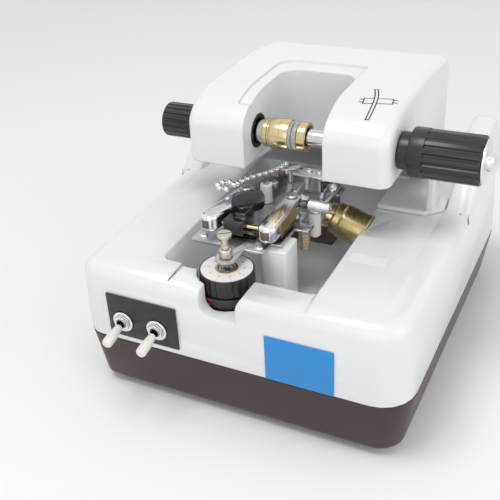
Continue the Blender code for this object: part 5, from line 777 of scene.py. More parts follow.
class GROOVER_OT_carriage(bpy.types.Operator):
    """Finish the guide plate and its stand, and turn the depth screw, nut, screws and bush"""
    bl_idname = "groover.carriage"
    bl_label = "Guide carriage"

    def execute(self, context):
        finished(dressed("guide_plate", 0.0002, 2, 40, False), "steel", "carriage",
                 "ground_steel", "guide_plate")
        coated("carriage_stand", "dark_steel")
        axis = upright(DIAL_X, DIAL_Y)
        tip, top = reach_z("depth_screw")
        under_plate = 0.0951
        nut_low = PLATE_TOP + GAP
        nut_top = nut_low + 0.0052
        neck = nut_top + GAP
        head = top - 0.0020
        profile = [(0.0010, tip), (0.0013, tip + 0.0003), (0.0013, under_plate),
                   (0.0017, under_plate), (0.0017, neck), (0.0023, neck),
                   (0.0023, neck + 0.0012), (0.0019, neck + 0.0016), (0.0019, head - 0.0004),
                   (0.0023, head), (0.0040, head), (0.0042, head + 0.0002),
                   (0.0042, top - 0.0003), (0.0039, top), (0.0006, top)]
        screw = turned("depth_screw.finished", profile, axis, 40)
        half_length, half_width, depth = 0.006, 0.00045, 0.0010
        slit = block("slit", (-half_length, -half_width, top - depth),
                     (half_length, half_width, top + OVERRUN),
                     axis @ Matrix.Rotation(math.radians(35), 4, "Z"))
        finished(joined_with(screw, [slit]), "nickel", "carriage", "chrome", "depth_screw")
        nut = turned("lock_nut.finished",
                     [(0.0020, nut_low), (0.0041, nut_low), (0.0041, nut_top - 0.0008),
                      (0.0034, nut_top), (0.0020, nut_top), (0.0020, nut_low)], axis, 6, True)
        finished(rounded(nut, 0.00035, 2, 30), "nickel", "carriage", "chrome", "lock_nut",
                 smooth=25)
        for number, (x, y, turn) in enumerate(((-0.0345, 0.0415, 0.3), (0.0015, 0.0400, 0.9),
                                               (-0.0345, 0.0935, 0.6), (-0.0225, 0.1165, 0.2))):
            pan_screw(f"plate_screw_{number + 1}", x, y, PLATE_TOP, 0.0024, "carriage",
                      "silver_plate", turn)
        tab_x, tab_y = 0.0162, 0.0710
        bore = 0.0016
        bush_low = 0.0829
        pitch = 0.0020
        rings = [(bore, bush_low)]
        for step in range(6):
            rise = bush_low + 0.0002 + step * pitch
            rings += [(0.0034, rise), (0.0034, rise + 0.0014), (0.0030, rise + 0.0016)]
        rings += [(bore, under_plate), (bore, bush_low)]
        finished(turned("tab_bush", rings, upright(tab_x, tab_y), 40, True), "brass",
                 "carriage", "brass")
        return {"FINISHED"}


class GROOVER_OT_arms(bpy.types.Operator):
    """Shape both guide arms with their sockets and trim, and the cross rod"""
    bl_idname = "groover.arms"
    bl_label = "Guide arms"

    def execute(self, context):
        for side, body, x, turn in (("right", "right_arm", 0.0048, 0.0),
                                    ("left", "left_arm", -0.0250, math.radians(-11.5))):
            self.arm(side, body, upright(x, PIVOT_Y) @ Matrix.Rotation(turn, 4, "Z"))
        rod_low, rod_high = reach_x("cross_rod")
        rod = turned("cross_rod.finished",
                     [(0.0012, rod_low), (0.0015, rod_low + 0.0003),
                      (0.0015, rod_high - 0.0004), (0.0011, rod_high)],
                     along_x(CROSS_ROD_Y, CROSS_ROD_Z), 32)
        finished(rod, "brass", "left_arm", "brass", "cross_rod")
        return {"FINISHED"}

    def arm(self, side, body, home):
        """A rounded bar with a pivot hole, a nose socket and its trim."""
        half = 0.0056
        length = 0.0350
        outline = arc(0, 0, half, 0, 180, 16) + arc(0, -length, half, 180, 360, 20)
        bar = drawn(side + "_guide_arm.finished", outline, ARM_LOW, ARM_TOP, home)
        rounded(bar, 0.0022, 5, 60, False)
        pivot = 0.0019
        tools = [turned("hole", [(pivot, ARM_LOW - OVERRUN), (pivot, ARM_TOP + OVERRUN)], home, 32)]
        if side == "right":
            bore = 0.0014
            tools.append(turned("hole", [(bore, 0.0030), (bore, 0.0070)],
                                home @ Matrix.Translation((0, 0, THUMB_SCREW_Z))
                                @ Matrix.Rotation(math.pi / 2, 4, "Y"), 24))
        else:
            bore = 0.0018
            tools.append(turned("hole", [(bore, -0.0340), (bore, -0.0100)],
                                along_x(CROSS_ROD_Y, CROSS_ROD_Z), 24))
        across, low, high = 0.0026, 0.1023, 0.1075
        tools.append(block("nose", (-across, -0.0420, low), (across, -0.0385, high), home))
        joined_with(bar, tools)
        finished(bar, "chrome", body, "chrome", side + "_guide_arm", smooth=40)
        room = 0.0002
        socket = block(side + "_arm_socket", (-across + room, -0.0402, low + room),
                       (across - room, -0.0386, high - room), home)
        finished(rounded(socket, 0.0003, 2), "dark_steel", body, "dark_steel")
        sunk = 0.0001
        front = -0.0300
        if side == "right":
            rear = -0.0080
            panel = block("right_arm_panel", (half - sunk, front, 0.1012),
                          (half + 0.0003, rear, 0.1088), home)
            finished(rounded(panel, 0.0001, 1), "bronze", body, "brass")
            strip = block("right_arm_strip", (half - 0.0016, front, 0.0989),
                          (half + sunk, rear, 0.1006), home)
        else:
            strip = block("left_arm_strip", (half - sunk, front, 0.1016),
                          (half + sunk, -0.0040, 0.1082), home)
        finished(rounded(strip, 0.00008, 1), "gloss_black", body, "black_plastic")


class GROOVER_OT_thumb_screw(bpy.types.Operator):
    """Turn the stippled thumb screw and wind its spring"""
    bl_idname = "groover.thumb_screw"
    bl_label = "Thumb screw"

    def execute(self, context):
        sizes = context.scene.groover_sizes
        start, end = 0.0150, 0.0285
        shank = 0.0011
        screw = turned("thumb_screw.finished",
                       [(0.0010, reach_x("thumb_screw")[0]), (shank, 0.0077),
                        (shank, start), (0.0028, start), (0.0034, start + 0.0006),
                        (0.0034, end - 0.0008), (0.0031, end - 0.0002), (0.0027, end),
                        (0.0012, end), (shank, end - 0.0003)],
                       along_x(PIVOT_Y, THUMB_SCREW_Z), 48)
        finished(screw, "knurl", "arm_screw", "silver_plate", "thumb_screw")
        self.spring(sizes.spring_turns)
        return {"FINISHED"}

    def spring(self, turns):
        """The spring between the right arm and the thumb screw's head."""
        coil_low, coil_high = reach_x("thumb_spring")
        wire = 0.0004
        coil_radius = 0.0022
        sides = 10
        length = coil_high - coil_low - 2 * wire
        pick(None)
        bpy.ops.mesh.primitive_circle_add(vertices=sides, radius=wire, fill_type="NOTHING",
                                          location=(coil_radius, 0, 0),
                                          rotation=(math.pi / 2, 0, 0))
        coil = settle(bpy.context.object)
        bpy.ops.object.mode_set(mode="EDIT")
        bpy.ops.mesh.select_all(action="SELECT")
        steps = 20 * turns
        bpy.ops.mesh.spin(steps=steps, angle=2 * math.pi * turns, center=(0, 0, 0),
                          axis=(0, 0, 1), dupli=False)
        mesh = bmesh.from_edit_mesh(coil.data)
        mesh.verts.ensure_lookup_table()
        for index, vert in enumerate(mesh.verts):
            vert.co.z += length * (index // sides) / steps
        bmesh.update_edit_mesh(coil.data)
        bpy.ops.mesh.select_all(action="SELECT")
        bpy.ops.mesh.normals_make_consistent(inside=False)
        bpy.ops.object.mode_set(mode="OBJECT")
        settle(coil, along_x(PIVOT_Y, THUMB_SCREW_Z, coil_low + wire))
        finished(named(coil, "thumb_spring.finished"), "dark_steel", "right_arm",
                 "black_plastic", "thumb_spring", smooth=60)


class GROOVER_OT_clip(bpy.types.Operator):
    """Round the black clip that hangs on the cross rod, and draw its curved channel"""
    bl_idname = "groover.clip"
    bl_label = "Sponge clip"

    def execute(self, context):
        finished(dressed("sponge_clip", 0.0009, 3, 40, False), "gloss_black", "clip",
                 "black_plastic", "sponge_clip", smooth=40)
        outer, inner = 0.0044, 0.0033
        front, rear = 190, 345
        left, right = -0.0165, -0.0045
        channel = drawn("clip_channel",
                        arc(CROSS_ROD_Y, CROSS_ROD_Z, outer, front, rear, 20)
                        + arc(CROSS_ROD_Y, CROSS_ROD_Z, inner, rear, front, 20),
                        left, right, HOME @ SIDEWAYS)
        finished(rounded(channel, 0.0003, 2), "gloss_black", "clip", "black_plastic", smooth=40)
        return {"FINISHED"}


class GROOVER_OT_rollers(bpy.types.Operator):
    """Turn both nylon rollers and finish the strip, the guard and their screws"""
    bl_idname = "groover.rollers"
    bl_label = "Rollers and guard"

    def execute(self, context):
        bore = 0.0015
        radius = 0.0036
        edge = 0.0005
        for side, x, y in (("left", -0.0168, 0.0915), ("right", 0.0168, 0.0862)):
            low, top = reach_z(side + "_nylon_roller")
            profile = [(bore, low), (radius - edge, low), (radius, low + edge),
                       (radius, top - edge), (radius - edge, top), (bore, top), (bore, low)]
            roller = turned(side + "_nylon_roller.finished", profile, upright(x, y), 40, True)
            finished(roller, "nylon", side + "_roller", "white_nylon", side + "_nylon_roller")
        finished(dressed("roller_strip", 0.0002, 2, 40, False), "chrome", "carriage", "chrome",
                 "roller_strip")
        finished(dressed("wheel_guard", 0.0004, 2, 40, False), "chrome", "carriage", "chrome",
                 "wheel_guard")
        sunk = 0.0005
        pan_screw("strip_screw", 0.0168, 0.1172, reach_z("roller_strip")[1] - sunk, 0.0027,
                  "carriage", "silver_plate", 0.5)
        for number, x, turn in ((1, 0.0004, 0.2), (2, 0.0072, 1.0)):
            pan_screw(f"guard_screw_{number}", x, 0.1185, reach_z("wheel_guard")[1], 0.0024,
                      "carriage", "silver_plate", turn)
        return {"FINISHED"}


class GROOVER_OT_chain(bpy.types.Operator):
    """Lay the bead chain bead by bead from its oval anchor plate"""
    bl_idname = "groover.chain"
    bl_label = "Bead chain"

    def execute(self, context):
        finished(dressed("chain_anchor", 0.0003, 2, 40, False), "chrome", "carriage",
                 "silver_plate", "chain_anchor")
        radius = 0.0019
        places = self.route(radius)
        ball = self.ball(radius)
        link = turned("link", [(0.00050, 0.0016), (0.00042, 0.0022), (0.00050, 0.0029)],
                      Matrix.Identity(4), 12)
        beads = []
        for number, spot in enumerate(places):
            last = number == len(places) - 1
            ahead = spot - places[number - 1] if last else places[number + 1] - spot
            turn = ahead.to_track_quat("Z", "Y").to_matrix().to_4x4()
            home = HOME @ Matrix.Translation(spot) @ turn
            beads.append(repeated(ball, "bead", home))
            if not last:
                beads.append(repeated(link, "link", home))
        bpy.data.objects.remove(ball)
        bpy.data.objects.remove(link)
        finished(together("bead_chain.finished", beads), "chrome", "carriage", "chrome",
                 "bead_chain", smooth=60)
        return {"FINISHED"}

    def ball(self, radius):
        """One bead, drawn in a little at its poles, where the links enter."""
        pole = radius * 0.93
        pick(None)
        bpy.ops.mesh.primitive_uv_sphere_add(segments=20, ring_count=12, radius=radius)
        ball = settle(bpy.context.object)
        bpy.ops.object.mode_set(mode="EDIT")
        mesh = bmesh.from_edit_mesh(ball.data)
        bpy.ops.mesh.select_all(action="DESELECT")
        for vert in mesh.verts:
            vert.select = abs(vert.co.z) > pole
        mesh.select_flush_mode()
        bmesh.update_edit_mesh(ball.data)
        bpy.ops.transform.resize(value=(0.9, 0.9, 0.97), center_override=(0, 0, 0))
        bpy.ops.object.mode_set(mode="OBJECT")
        return ball

    def route(self, radius):
        """Centres of the beads: a wavy run, then a curl over the left arm."""
        pitch = 0.0045
        wave_reach = 0.0013
        anchor_x, anchor_y = -0.0156, 0.1189
        anchor_height = 0.0107
        start = Vector((anchor_x, anchor_y, PLATE_TOP + GAP + anchor_height + GAP + radius))
        centre = Vector((-0.0365, 0.0765, ARM_TOP + GAP + radius))
        loop = 0.0048
        join_angle = math.radians(20)
        join = centre + loop * Vector((math.cos(join_angle), math.sin(join_angle), 0))
        straight = (join - start).length
        points = []
        walked = 0.0
        while walked < straight:
            share = walked / straight
            wave = wave_reach * math.sin(2 * math.pi * share)
            points.append(start.lerp(join, share) + Vector((wave, -wave / 2, 0)))
            walked += pitch
        turn = join_angle + (walked - straight) / loop
        while turn < join_angle + 2 * math.pi - pitch * 1.3 / loop:
            points.append(centre + loop * Vector((math.cos(turn), math.sin(turn), 0)))
            turn += pitch / loop
        return points


class GROOVER_OT_spindle(bpy.types.Operator):
    """Turn the grooving wheel, its shaft, the brass collar and the brass drum"""
    bl_idname = "groover.spindle"
    bl_label = "Spindle"

    def execute(self, context):
        bore = SPINDLE_BORE
        hub, half = 0.0068, 0.0008
        wheel = turned("grooving_wheel.finished",
                       [(bore, -half), (hub, -half), (0.0073, -0.0006), (0.0099, -0.0003),
                        (0.0100, 0.0), (0.0099, 0.0003), (0.0073, 0.0006), (hub, half),
                        (bore, half), (bore, -half)], SPINDLE, 72, True)
        finished(wheel, "grit", "wheel", "diamond_grit", "grooving_wheel")
        rod, cap, nut = 0.0020, 0.0038, 0.0036
        flange, pulley = 0.0055, 0.0041
        shaft = turned("spindle_shaft.finished",
                       [(0.0016, -0.0037), (0.0036, -0.0037), (cap, -0.0034), (cap, -0.0012),
                        (rod, -0.0012), (rod, 0.0011), (0.0034, 0.0011), (nut, 0.0013),
                        (nut, 0.0068), (0.0033, 0.0071), (rod, 0.0071), (rod, 0.0603),
                        (flange, 0.0603), (flange, 0.0612), (pulley, 0.0612),
                        (pulley, 0.0648), (flange, 0.0648), (flange, 0.0657),
                        (rod, 0.0657), (rod, 0.0660)], SPINDLE, 48)
        finished(shaft, "polished", "wheel", "ground_steel", "spindle_shaft")
        start = COLLAR_START
        end = start + 0.0046
        edge = 0.0004
        collar = turned("spindle_collar.finished",
                        [(bore, start), (0.0070, start), (0.0074, start + edge),
                         (0.0074, end - edge), (0.0070, end), (bore, end), (bore, start)],
                        SPINDLE, 64, True)
        hole = turned("hole", [(0.0011, 0.0035), (0.0011, 0.0090)],
                      SPINDLE @ Matrix.Translation((0, 0, start + 0.0025))
                      @ Matrix.Rotation(math.pi / 2, 4, "X"), 6)
        finished(joined_with(collar, [hole]), "brass", "wheel", "brass", "spindle_collar")
        self.drum()
        return {"FINISHED"}

    def drum(self):
        """The stepped brass drum and its set screw."""
        start = DRUM_START
        end = DRUM_END
        bore = SPINDLE_BORE
        screw_angle = math.radians(115)
        drum = turned("spindle_housing.finished",
                      [(bore, start), (0.0092, start), (0.0097, start + 0.0005),
                       (0.0097, start + 0.0040), (0.0103, start + 0.0048),
                       (DRUM_RADIUS, start + 0.0060), (DRUM_RADIUS, end - 0.0006),
                       (DRUM_RADIUS - 0.0005, end), (bore, end), (bore, start)],
                       SPINDLE, 72, True)
        finished(drum, "drum", "machine_body", "brass", "spindle_housing")
        screw = turned("drum_set_screw", [(0.0013, 0), (0.0013, 0.0006), (0.0008, 0.0006),
                                          (0.0008, 0.0002)],
                       SPINDLE @ Matrix.Translation((0, 0, start + 0.0050))
                       @ Matrix.Rotation(screw_angle, 4, "X")
                       @ Matrix.Translation((0, 0, DRUM_RADIUS - 0.0003)), 24)
        finished(screw, "dark_steel", "machine_body", "dark_steel")


class GROOVER_OT_inside(bpy.types.Operator):
    """Finish the motors, the belt, the power parts and the inlet"""
    bl_idname = "groover.inside"
    bl_label = "Drive and power"

    def execute(self, context):
        for node, finish in (("wheel_motor", "dark_steel"), ("motor_pulley", "steel"),
                             ("drive_belt", "rubber"), ("transformer", "laminations"),
                             ("control_board", "board"), ("head_chassis", "steel"),
                             ("hinge_rod", "dark_steel"), ("lens_motor", "dark_steel"),
                             ("lens_pinion", "steel"), ("clamp_carrier", "dark_steel")):
            coated(node, finish)
        finished(dressed("mains_inlet", 0.0003, 2, 40, False), "panel", "machine_body",
                 "black_plastic", "mains_inlet")
        return {"FINISHED"}


class GROOVER_OT_head(bpy.types.Operator):
    """Shape the head's white cover with its mouth, ledge, holes, pictogram and grommet"""
    bl_idname = "groover.head"
    bl_label = "Head cover"

    half = 0.0625
    front = 0.0790
    rear = 0.2090
    top = 0.1649
    arm_low = 0.1245
    arm_rear = 0.1300
    rear_low = 0.0990
    rear_front = 0.1600
    nose_depth = 0.0340
    nose_height = 0.0180
    roof_rear = 0.1660
    roof_fall = 0.0050
    rear_radius = 0.0090
    rim_radius = 0.0070
    mouth_half = 0.0243
    mouth_rear = 0.1430
    mouth_radius = 0.0120
    beyond = 0.004

    def execute(self, context):
        across = HOME @ SIDEWAYS
        line = along_x(CLAMP_Y, CLAMP_Z)
        shell = drawn("head_shell.finished", self.outline(0), -self.half, self.half, across)
        self.round_rims(shell)
        low = self.rear_low - self.beyond
        high = self.top + self.beyond
        left, front, rear = -0.0318, self.front + 0.0113, 0.1560
        ledge_depth = 0.0012
        ledge = drawn("ledge", corners(left, self.mouth_half, front, rear,
                                       [GAP, GAP, GAP, self.mouth_radius]),
                      self.arm_low, high, HOME)
        core = drawn("core", self.outline(ledge_depth), -self.half, self.half, across)
        joined_with(ledge, [core])
        joined_with(shell, [ledge])
        wall = 0.0026
        hollow = drawn("hollow", self.outline(wall), -self.half + wall, self.half - wall, across)
        keep = drawn("keep", self.mouth(wall), low, high, HOME)
        joined_with(hollow, [keep])
        mouth = drawn("mouth", self.mouth(0), low, high, HOME)
        holes = [turned("hole", [(radius, start), (radius, end)], line, steps)
                 for radius, start, end, steps in ((0.0104, -0.0300, -0.0200, 64),
                                                   (0.0059, 0.0200, 0.0700, 48),
                                                   (0.0033, -0.0700, -0.0560, 48))]
        joined_with(shell, [hollow, mouth] + holes)
        finished(shell, "moulding", "head", "white_moulding", "head_shell", smooth=30)
        self.pictogram(shell)
        grommet = turned("arm_grommet",
                         [(0.0078, -0.0268), (0.0102, -0.0268), (0.0102, -0.0243),
                          (0.0098, -0.0238), (0.0084, -0.0240), (0.0078, -0.0245),
                          (0.0078, -0.0268)], line, 60, True)
        finished(grommet, "rubber", "head", "black_plastic")
        return {"FINISHED"}

    def outline(self, wall):
        """The head seen from the side; a wall draws it inwards and opens it below."""
        front = self.front + wall
        rear = self.rear - wall
        drop = self.beyond if wall else 0
        nose_depth = self.nose_depth - wall
        nose_height = self.nose_height - wall
        top = self.top - wall
        radius = self.rear_radius - wall
        points = [(front, self.arm_low - drop)]
        points += arc(front + nose_depth, top - nose_height, nose_depth, 180, 90, 20,
                      nose_height / nose_depth)
        points += [(self.roof_rear, top)]
        points += arc(rear - radius, top - self.roof_fall - radius, radius, 90, 0, 10)
        points += [(rear, self.rear_low - drop), (self.rear_front + wall, self.rear_low - drop),
                   (self.arm_rear + wall, self.arm_low - drop)]
        return points

    def mouth(self, wall):
        """The mouth between the arms, seen from above."""
        half = self.mouth_half + wall
        return corners(-half, half, self.front - self.beyond, self.mouth_rear + wall,
                       [wall + GAP, wall + GAP, self.mouth_radius, self.mouth_radius], 12)

    def round_rims(self, shell):
        """Round the long rims at both sides of the head, except below."""
        pick(shell)
        bpy.ops.object.mode_set(mode="EDIT")
        bpy.ops.mesh.select_mode(type="EDGE")
        mesh = bmesh.from_edit_mesh(shell.data)
        bpy.ops.mesh.select_all(action="DESELECT")
        near = 0.00001
        for edge in mesh.edges:
            first, second = edge.verts
            flat = abs(first.co.x - second.co.x) < near
            high = first.co.z + second.co.z > 2 * (self.arm_low + near)
            edge.select = flat and high
        bmesh.update_edit_mesh(shell.data)
        bpy.ops.mesh.bevel(offset=self.rim_radius, segments=8, profile=0.5, affect="EDGES",
                           clamp_overlap=False)
        bpy.ops.mesh.select_mode(type="VERT")
        bpy.ops.object.mode_set(mode="OBJECT")

    def pictogram(self, shell):
        """Thin ink lines that stand for a lens between two clamps, laid on the arm's top."""
        flat = upright(0.0455, 0.1060) @ Matrix.Rotation(0.16, 4, "Z")
        height = self.top + self.beyond / 2
        half = 0.00034
        share = 0.74
        strips = []
        for line in self.drawing():
            for start, end in zip(line, line[1:]):
                first, last = Vector(start) * share, Vector(end) * share
                along = (last - first).normalized() * half
                across = Vector((-along.y, along.x))
                points = (first - along - across, last + along - across,
                          last + along + across, first - along + across)
                strips.append(self.strip(points, height, flat))
        ink = together("clamp_pictogram", strips)
        wrap = ink.modifiers.new("lay", "SHRINKWRAP")
        wrap.target = shell
        wrap.wrap_method = "PROJECT"
        wrap.use_project_z = True
        wrap.use_negative_direction = True
        wrap.use_positive_direction = False
        wrap.offset = 0.00006
        apply_all(ink)
        finished(ink, "ink", "head", "black_plastic")

    def drawing(self):
        """The pictogram's lines before they are scaled: a bent lens and two clamp blocks."""
        bow = arc(-0.0900, 0, 0.0900, -14, 14, 24)
        left, right = -0.0014, 0.0012
        lines = [[(x + shift, y) for x, y in bow] for shift in (left, right)]
        rim_x, rim_y = 0.0027, 0.0218
        lines += [[(left - rim_x, y), (right - rim_x, y)] for y in (-rim_y, rim_y)]
        edge = 0.0040
        for side, reach in ((-1, 0.0090), (1, 0.0130)):
            near = side * 0.0019
            far = side * reach
            lines.append([(near, -edge), (far, -edge), (far, edge), (near, edge)])
            lines += [[(far, y), (far + side * 0.0030, y)] for y in (edge / 2, -edge / 2)]
        return lines

    def strip(self, points, height, flat):
        """One thin flat strip of ink, divided so that it can follow the nose."""
        pick(None)
        bpy.ops.mesh.primitive_grid_add(x_subdivisions=8, y_subdivisions=1, size=1.0)
        piece = bpy.context.object
        bpy.ops.object.mode_set(mode="EDIT")
        mesh = bmesh.from_edit_mesh(piece.data)
        start_low, end_low, end_high, start_high = [Vector((*point, height)) for point in points]
        for vert in mesh.verts:
            u, v = vert.co.x + 0.5, vert.co.y + 0.5
            vert.co = start_low.lerp(end_low, u).lerp(start_high.lerp(end_high, u), v)
        bmesh.update_edit_mesh(piece.data)
        bpy.ops.object.mode_set(mode="OBJECT")
        return settle(piece, flat)


class GROOVER_OT_left_clamp(bpy.types.Operator):
    """Turn the driven side of the clamp: brass chuck, pad, shaft and small knob"""
    bl_idname = "groover.left_clamp"
    bl_label = "Left clamp"

    def execute(self, context):
        sizes = context.scene.groover_sizes
        line = along_x(CLAMP_Y, CLAMP_Z)
        coated("left_clamp_shaft", "polished")
        bore = 0.0033
        radius = 0.0092
        start, end = reach_x("left_brass_chuck")
        seat = end - 0.0015
        chuck = turned("left_brass_chuck.finished",
                       [(bore, start), (0.0080, start), (0.0086, start + 0.0004),
                        (0.0086, start + 0.0028), (0.0080, start + 0.0032),
                        (0.0080, start + 0.0038), (0.0090, start + 0.0042),
                        (radius, start + 0.0048), (radius, start + 0.0100),
                        (0.0089, start + 0.0103), (radius, start + 0.0106),
                        (radius, end - 0.0005), (0.0090, end), (0.0087, end),
                        (0.0087, seat), (bore, seat), (bore, start)], line, 80, True)
        finished(chuck, "brass", "left_chuck", "brass", "left_brass_chuck")
        low, high = reach_x("left_lens_pad")
        pad = turned("left_lens_pad.finished",
                     [(0.0080, low), (0.0084, low + 0.0004), (0.0084, high - 0.0007),
                      (0.0080, high - 0.0001), (0.0076, high), (0.0046, high),
                      (0.0040, high - 0.0006), (0.0015, high - 0.0006)], line, 64)
        finished(pad, "pad", "left_chuck", "clear_pad", "left_lens_pad")
        low, high = reach_x("left_knob")
        radius, neck = 0.0106, 0.0102
        knob = turned("left_knob.finished",
                      [(0.0072, low + 0.0006), (0.0092, low), (neck, low + 0.0005),
                       (radius, low + 0.0014), (radius, high - 0.0046), (neck, high - 0.0042),
                       (neck, high - 0.0034), (radius, high - 0.0030), (radius, high - 0.0010),
                       (0.0100, high), (bore, high), (bore, high - 0.0176)],
                      line, sizes.knob_grooves * 8, False,
                      (sizes.knob_grooves, sizes.knob_groove_depth, low + 0.0010,
                       high - 0.0045, 0.45))
        finished(knob, "knob", "left_chuck", "black_plastic", "left_knob")
        return {"FINISHED"}


class GROOVER_OT_right_clamp(bpy.types.Operator):
    """Turn the sliding side of the clamp: pad, recessed chuck, shaft, big knob and its cap"""
    bl_idname = "groover.right_clamp"
    bl_label = "Right clamp"

    def execute(self, context):
        sizes = context.scene.groover_sizes
        line = along_x(CLAMP_Y, CLAMP_Z)
        low, high = reach_x("right_lens_pad")
        pad = turned("right_lens_pad.finished",
                     [(0.0015, low + 0.0006), (0.0040, low + 0.0006), (0.0046, low),
                      (0.0076, low), (0.0080, low + 0.0001), (0.0084, low + 0.0007),
                      (0.0084, high - 0.0004), (0.0080, high)], line, 64)
        finished(pad, "pad", "right_chuck", "clear_pad", "right_lens_pad")
        low, high = reach_x("right_brass_chuck")
        chuck = turned("right_brass_chuck.finished",
                       [(0.0083, low), (0.0087, low + 0.0004), (0.0087, high - 0.0004),
                        (0.0084, high), (0.0070, high), (0.0068, high - 0.0002),
                        (0.0068, low + 0.0015)], line, 72)
        finished(chuck, "brass", "right_chuck", "brass", "right_brass_chuck")
        start, end = reach_x("right_clamp_shaft")
        radius, flange, width = 0.0053, 0.0068, 0.0012
        inner, outer = 0.0345, 0.0423
        shaft = turned("right_clamp_shaft.finished",
                       [(0.0050, start), (radius, start + 0.0003),
                        (radius, inner), (flange, inner),
                        (flange, inner + width), (radius, inner + width),
                        (radius, outer), (flange, outer),
                        (flange, outer + width), (radius, outer + width),
                        (radius, end), (0.0034, end), (0.0034, inner + width)], line, 56)
        finished(shaft, "polished", "right_chuck", "ground_steel", "right_clamp_shaft")
        low, high = reach_x("clamp_knob")
        self.knob(sizes, line, low, high)
        root, tip = reach_x("clamp_screw")
        cap = high + GAP
        nut = tip - 0.0046
        screw = turned("clamp_screw.finished",
                       [(0.0024, root), (0.0028, root + 0.0004), (0.0028, cap),
                        (0.0125, cap), (0.0125, cap + 0.0006), (0.0120, cap + 0.0011),
                        (0.0112, nut), (0.0056, nut), (0.0052, nut + 0.0003),
                        (0.0052, nut + 0.0016), (0.0047, nut + 0.0028),
                        (0.0036, nut + 0.0038), (0.0020, nut + 0.0044), (0.0006, tip)],
                       line, 64)
        finished(screw, "silver", "right_knob", "silver_plate", "clamp_screw")
        return {"FINISHED"}

    def knob(self, sizes, line, low, high):
        """The big knob: a plain neck, a band without grooves and a grooved grip."""
        body = low + 0.0063
        floor = low + 0.0200
        bore, screw_bore = 0.0060, 0.0031
        neck, band, grip = 0.0107, 0.0141, 0.0138
        knob = turned("clamp_knob.finished",
                      [(bore, low), (0.0103, low), (neck, low + 0.0005), (neck, body),
                       (0.0131, body), (grip, body + 0.0004), (band, body + 0.0012),
                       (band, body + 0.0085), (grip, body + 0.0088), (grip, high - 0.0012),
                       (0.0134, high - 0.0003), (0.0126, high), (screw_bore, high),
                       (screw_bore, floor), (bore, floor), (bore, low)],
                      line, sizes.knob_grooves * 8, True,
                      (sizes.knob_grooves, sizes.knob_groove_depth, body + 0.0087,
                       high - 0.0008, 0.45))
        finished(knob, "knob", "right_knob", "black_plastic", "clamp_knob")


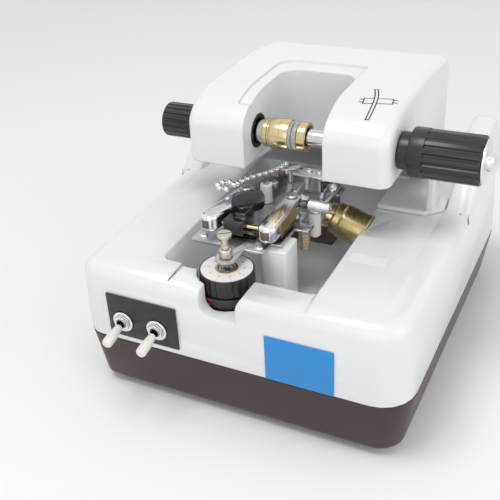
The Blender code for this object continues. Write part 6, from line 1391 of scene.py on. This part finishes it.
class GROOVER_OT_stage(bpy.types.Operator):
    """Set the floor, the lamps, the pale surroundings and the camera"""
    bl_idname = "groover.stage"
    bl_label = "Stage"

    def execute(self, context):
        pick(None)
        bpy.ops.mesh.primitive_grid_add(x_subdivisions=4, y_subdivisions=4, size=8.0)
        floor = named(bpy.context.object, "floor")
        floor.data.materials.append(self.pale("pale floor", 0.93))
        self.surroundings(context)
        self.lamps()
        self.camera(context)
        context.scene.view_settings.view_transform = "Standard"
        return {"FINISHED"}

    def lamps(self):
        """Three square lamps that face the middle of the machine."""
        middle = Vector((0, 0, 0.08))
        for name, spot, size, power in (("key lamp", (-0.20, -0.35, 1.30), 0.5, 6.0),
                                        ("side lamp", (1.10, -0.20, 0.60), 0.9, 3.0),
                                        ("front lamp", (0.30, -1.25, 0.45), 0.9, 2.2)):
            pick(None)
            bpy.ops.object.light_add(type="AREA", location=spot)
            lamp = bpy.context.object
            lamp.name = name
            lamp.data.size = size
            lamp.data.energy = power
            aim = middle - Vector(spot)
            lamp.rotation_euler = aim.to_track_quat("-Z", "Y").to_euler()

    def camera(self, context):
        """The camera, placed and turned as it was fitted to the photograph's straight edges."""
        pick(None)
        bpy.ops.object.camera_add(location=(0.1747, -0.43353, 0.3470))
        camera = bpy.context.object
        camera.name = "camera"
        right = Vector((0.8820, 0.4649, -0.0768))
        up = Vector((-0.1858, 0.4928, 0.8501))
        back = Vector((0.4330, -0.7355, 0.5210))
        turn = Matrix((right, up, back)).transposed()
        camera.rotation_euler = turn.to_euler()
        camera.data.sensor_width = 36
        camera.data.lens = 61.40
        camera.data.shift_x = 0.092
        camera.data.shift_y = 0.004
        context.scene.camera = camera

    def pale(self, name, value):
        """A floor that is white to the camera and to reflections, and takes shadows."""
        made = bpy.data.materials.new(name)
        made.use_nodes = True
        tree = made.node_tree
        shader = tree.nodes["Principled BSDF"]
        shader.inputs["Roughness"].default_value = 0.9
        place = tree.nodes.new("ShaderNodeTexCoord")
        noise = node_at(tree, "ShaderNodeTexNoise", Scale=3.0)
        tint = tree.nodes.new("ShaderNodeMix")
        tint.data_type = "RGBA"
        tint.inputs[MIX_FIRST].default_value = (value, value, value, 1)
        tint.inputs[MIX_SECOND].default_value = (value * 0.99, value * 0.99, value * 0.99, 1)
        tree.links.new(place.outputs["Object"], noise.inputs["Vector"])
        tree.links.new(noise.outputs["Fac"], tint.inputs[MIX_FACTOR])
        tree.links.new(tint.outputs[MIX_RESULT], shader.inputs["Base Color"])
        return made

    def surroundings(self, context):
        """Pale light all round, plain white where the camera or a reflection looks."""
        world = context.scene.world or bpy.data.worlds.new("World")
        context.scene.world = world
        world.use_nodes = True
        tree = world.node_tree
        tree.nodes.clear()
        rays = tree.nodes.new("ShaderNodeLightPath")
        seen = tree.nodes.new("ShaderNodeMath")
        seen.operation = "MAXIMUM"
        tree.links.new(rays.outputs["Is Camera Ray"], seen.inputs[0])
        tree.links.new(rays.outputs["Is Transmission Ray"], seen.inputs[1])
        mirrored = tree.nodes.new("ShaderNodeMath")
        mirrored.operation = "MAXIMUM"
        tree.links.new(seen.outputs[0], mirrored.inputs[0])
        tree.links.new(rays.outputs["Is Glossy Ray"], mirrored.inputs[1])
        lit = node_at(tree, "ShaderNodeBackground", Color=(1, 1, 1, 1), Strength=0.62)
        white = node_at(tree, "ShaderNodeBackground", Color=(1, 1, 1, 1), Strength=1.0)
        mix = tree.nodes.new("ShaderNodeMixShader")
        out = tree.nodes.new("ShaderNodeOutputWorld")
        tree.links.new(mirrored.outputs[0], mix.inputs[0])
        tree.links.new(lit.outputs[0], mix.inputs[1])
        tree.links.new(white.outputs[0], mix.inputs[2])
        tree.links.new(mix.outputs[0], out.inputs["Surface"])


OPERATORS = (GROOVER_OT_finishes, GROOVER_OT_body, GROOVER_OT_feet, GROOVER_OT_front,
             GROOVER_OT_dial, GROOVER_OT_carriage, GROOVER_OT_arms, GROOVER_OT_thumb_screw,
             GROOVER_OT_clip, GROOVER_OT_rollers, GROOVER_OT_chain, GROOVER_OT_spindle,
             GROOVER_OT_inside, GROOVER_OT_head, GROOVER_OT_left_clamp,
             GROOVER_OT_right_clamp, GROOVER_OT_stage)


class GROOVER_PT_panel(bpy.types.Panel):
    """The values and the steps of the lens groover"""
    bl_label = "Lens groover"
    bl_space_type = "VIEW_3D"
    bl_region_type = "UI"
    bl_category = "Groover"

    def draw(self, context):
        for group in (context.scene.groover_sizes, context.scene.groover_colours):
            for key in group.bl_rna.properties.keys():
                if key not in ("rna_type", "name"):
                    self.layout.prop(group, key)
        for step in OPERATORS:
            self.layout.operator(step.bl_idname)


CLASSES = (GrooverSizes, GrooverColours) + OPERATORS + (GROOVER_PT_panel,)


def register():
    """Register the classes and the values."""
    for item in CLASSES:
        bpy.utils.register_class(item)
    bpy.types.Scene.groover_sizes = bpy.props.PointerProperty(type=GrooverSizes)
    bpy.types.Scene.groover_colours = bpy.props.PointerProperty(type=GrooverColours)


def unregister():
    """Remove the values and the classes."""
    del bpy.types.Scene.groover_colours
    del bpy.types.Scene.groover_sizes
    for item in reversed(CLASSES):
        bpy.utils.unregister_class(item)


def main():
    """Build every piece in order."""
    register()
    for step in OPERATORS:
        group, name = step.bl_idname.split(".")
        getattr(getattr(bpy.ops, group), name)()
    bpy.context.view_layer.update()


if __name__ == "__main__":
    main()
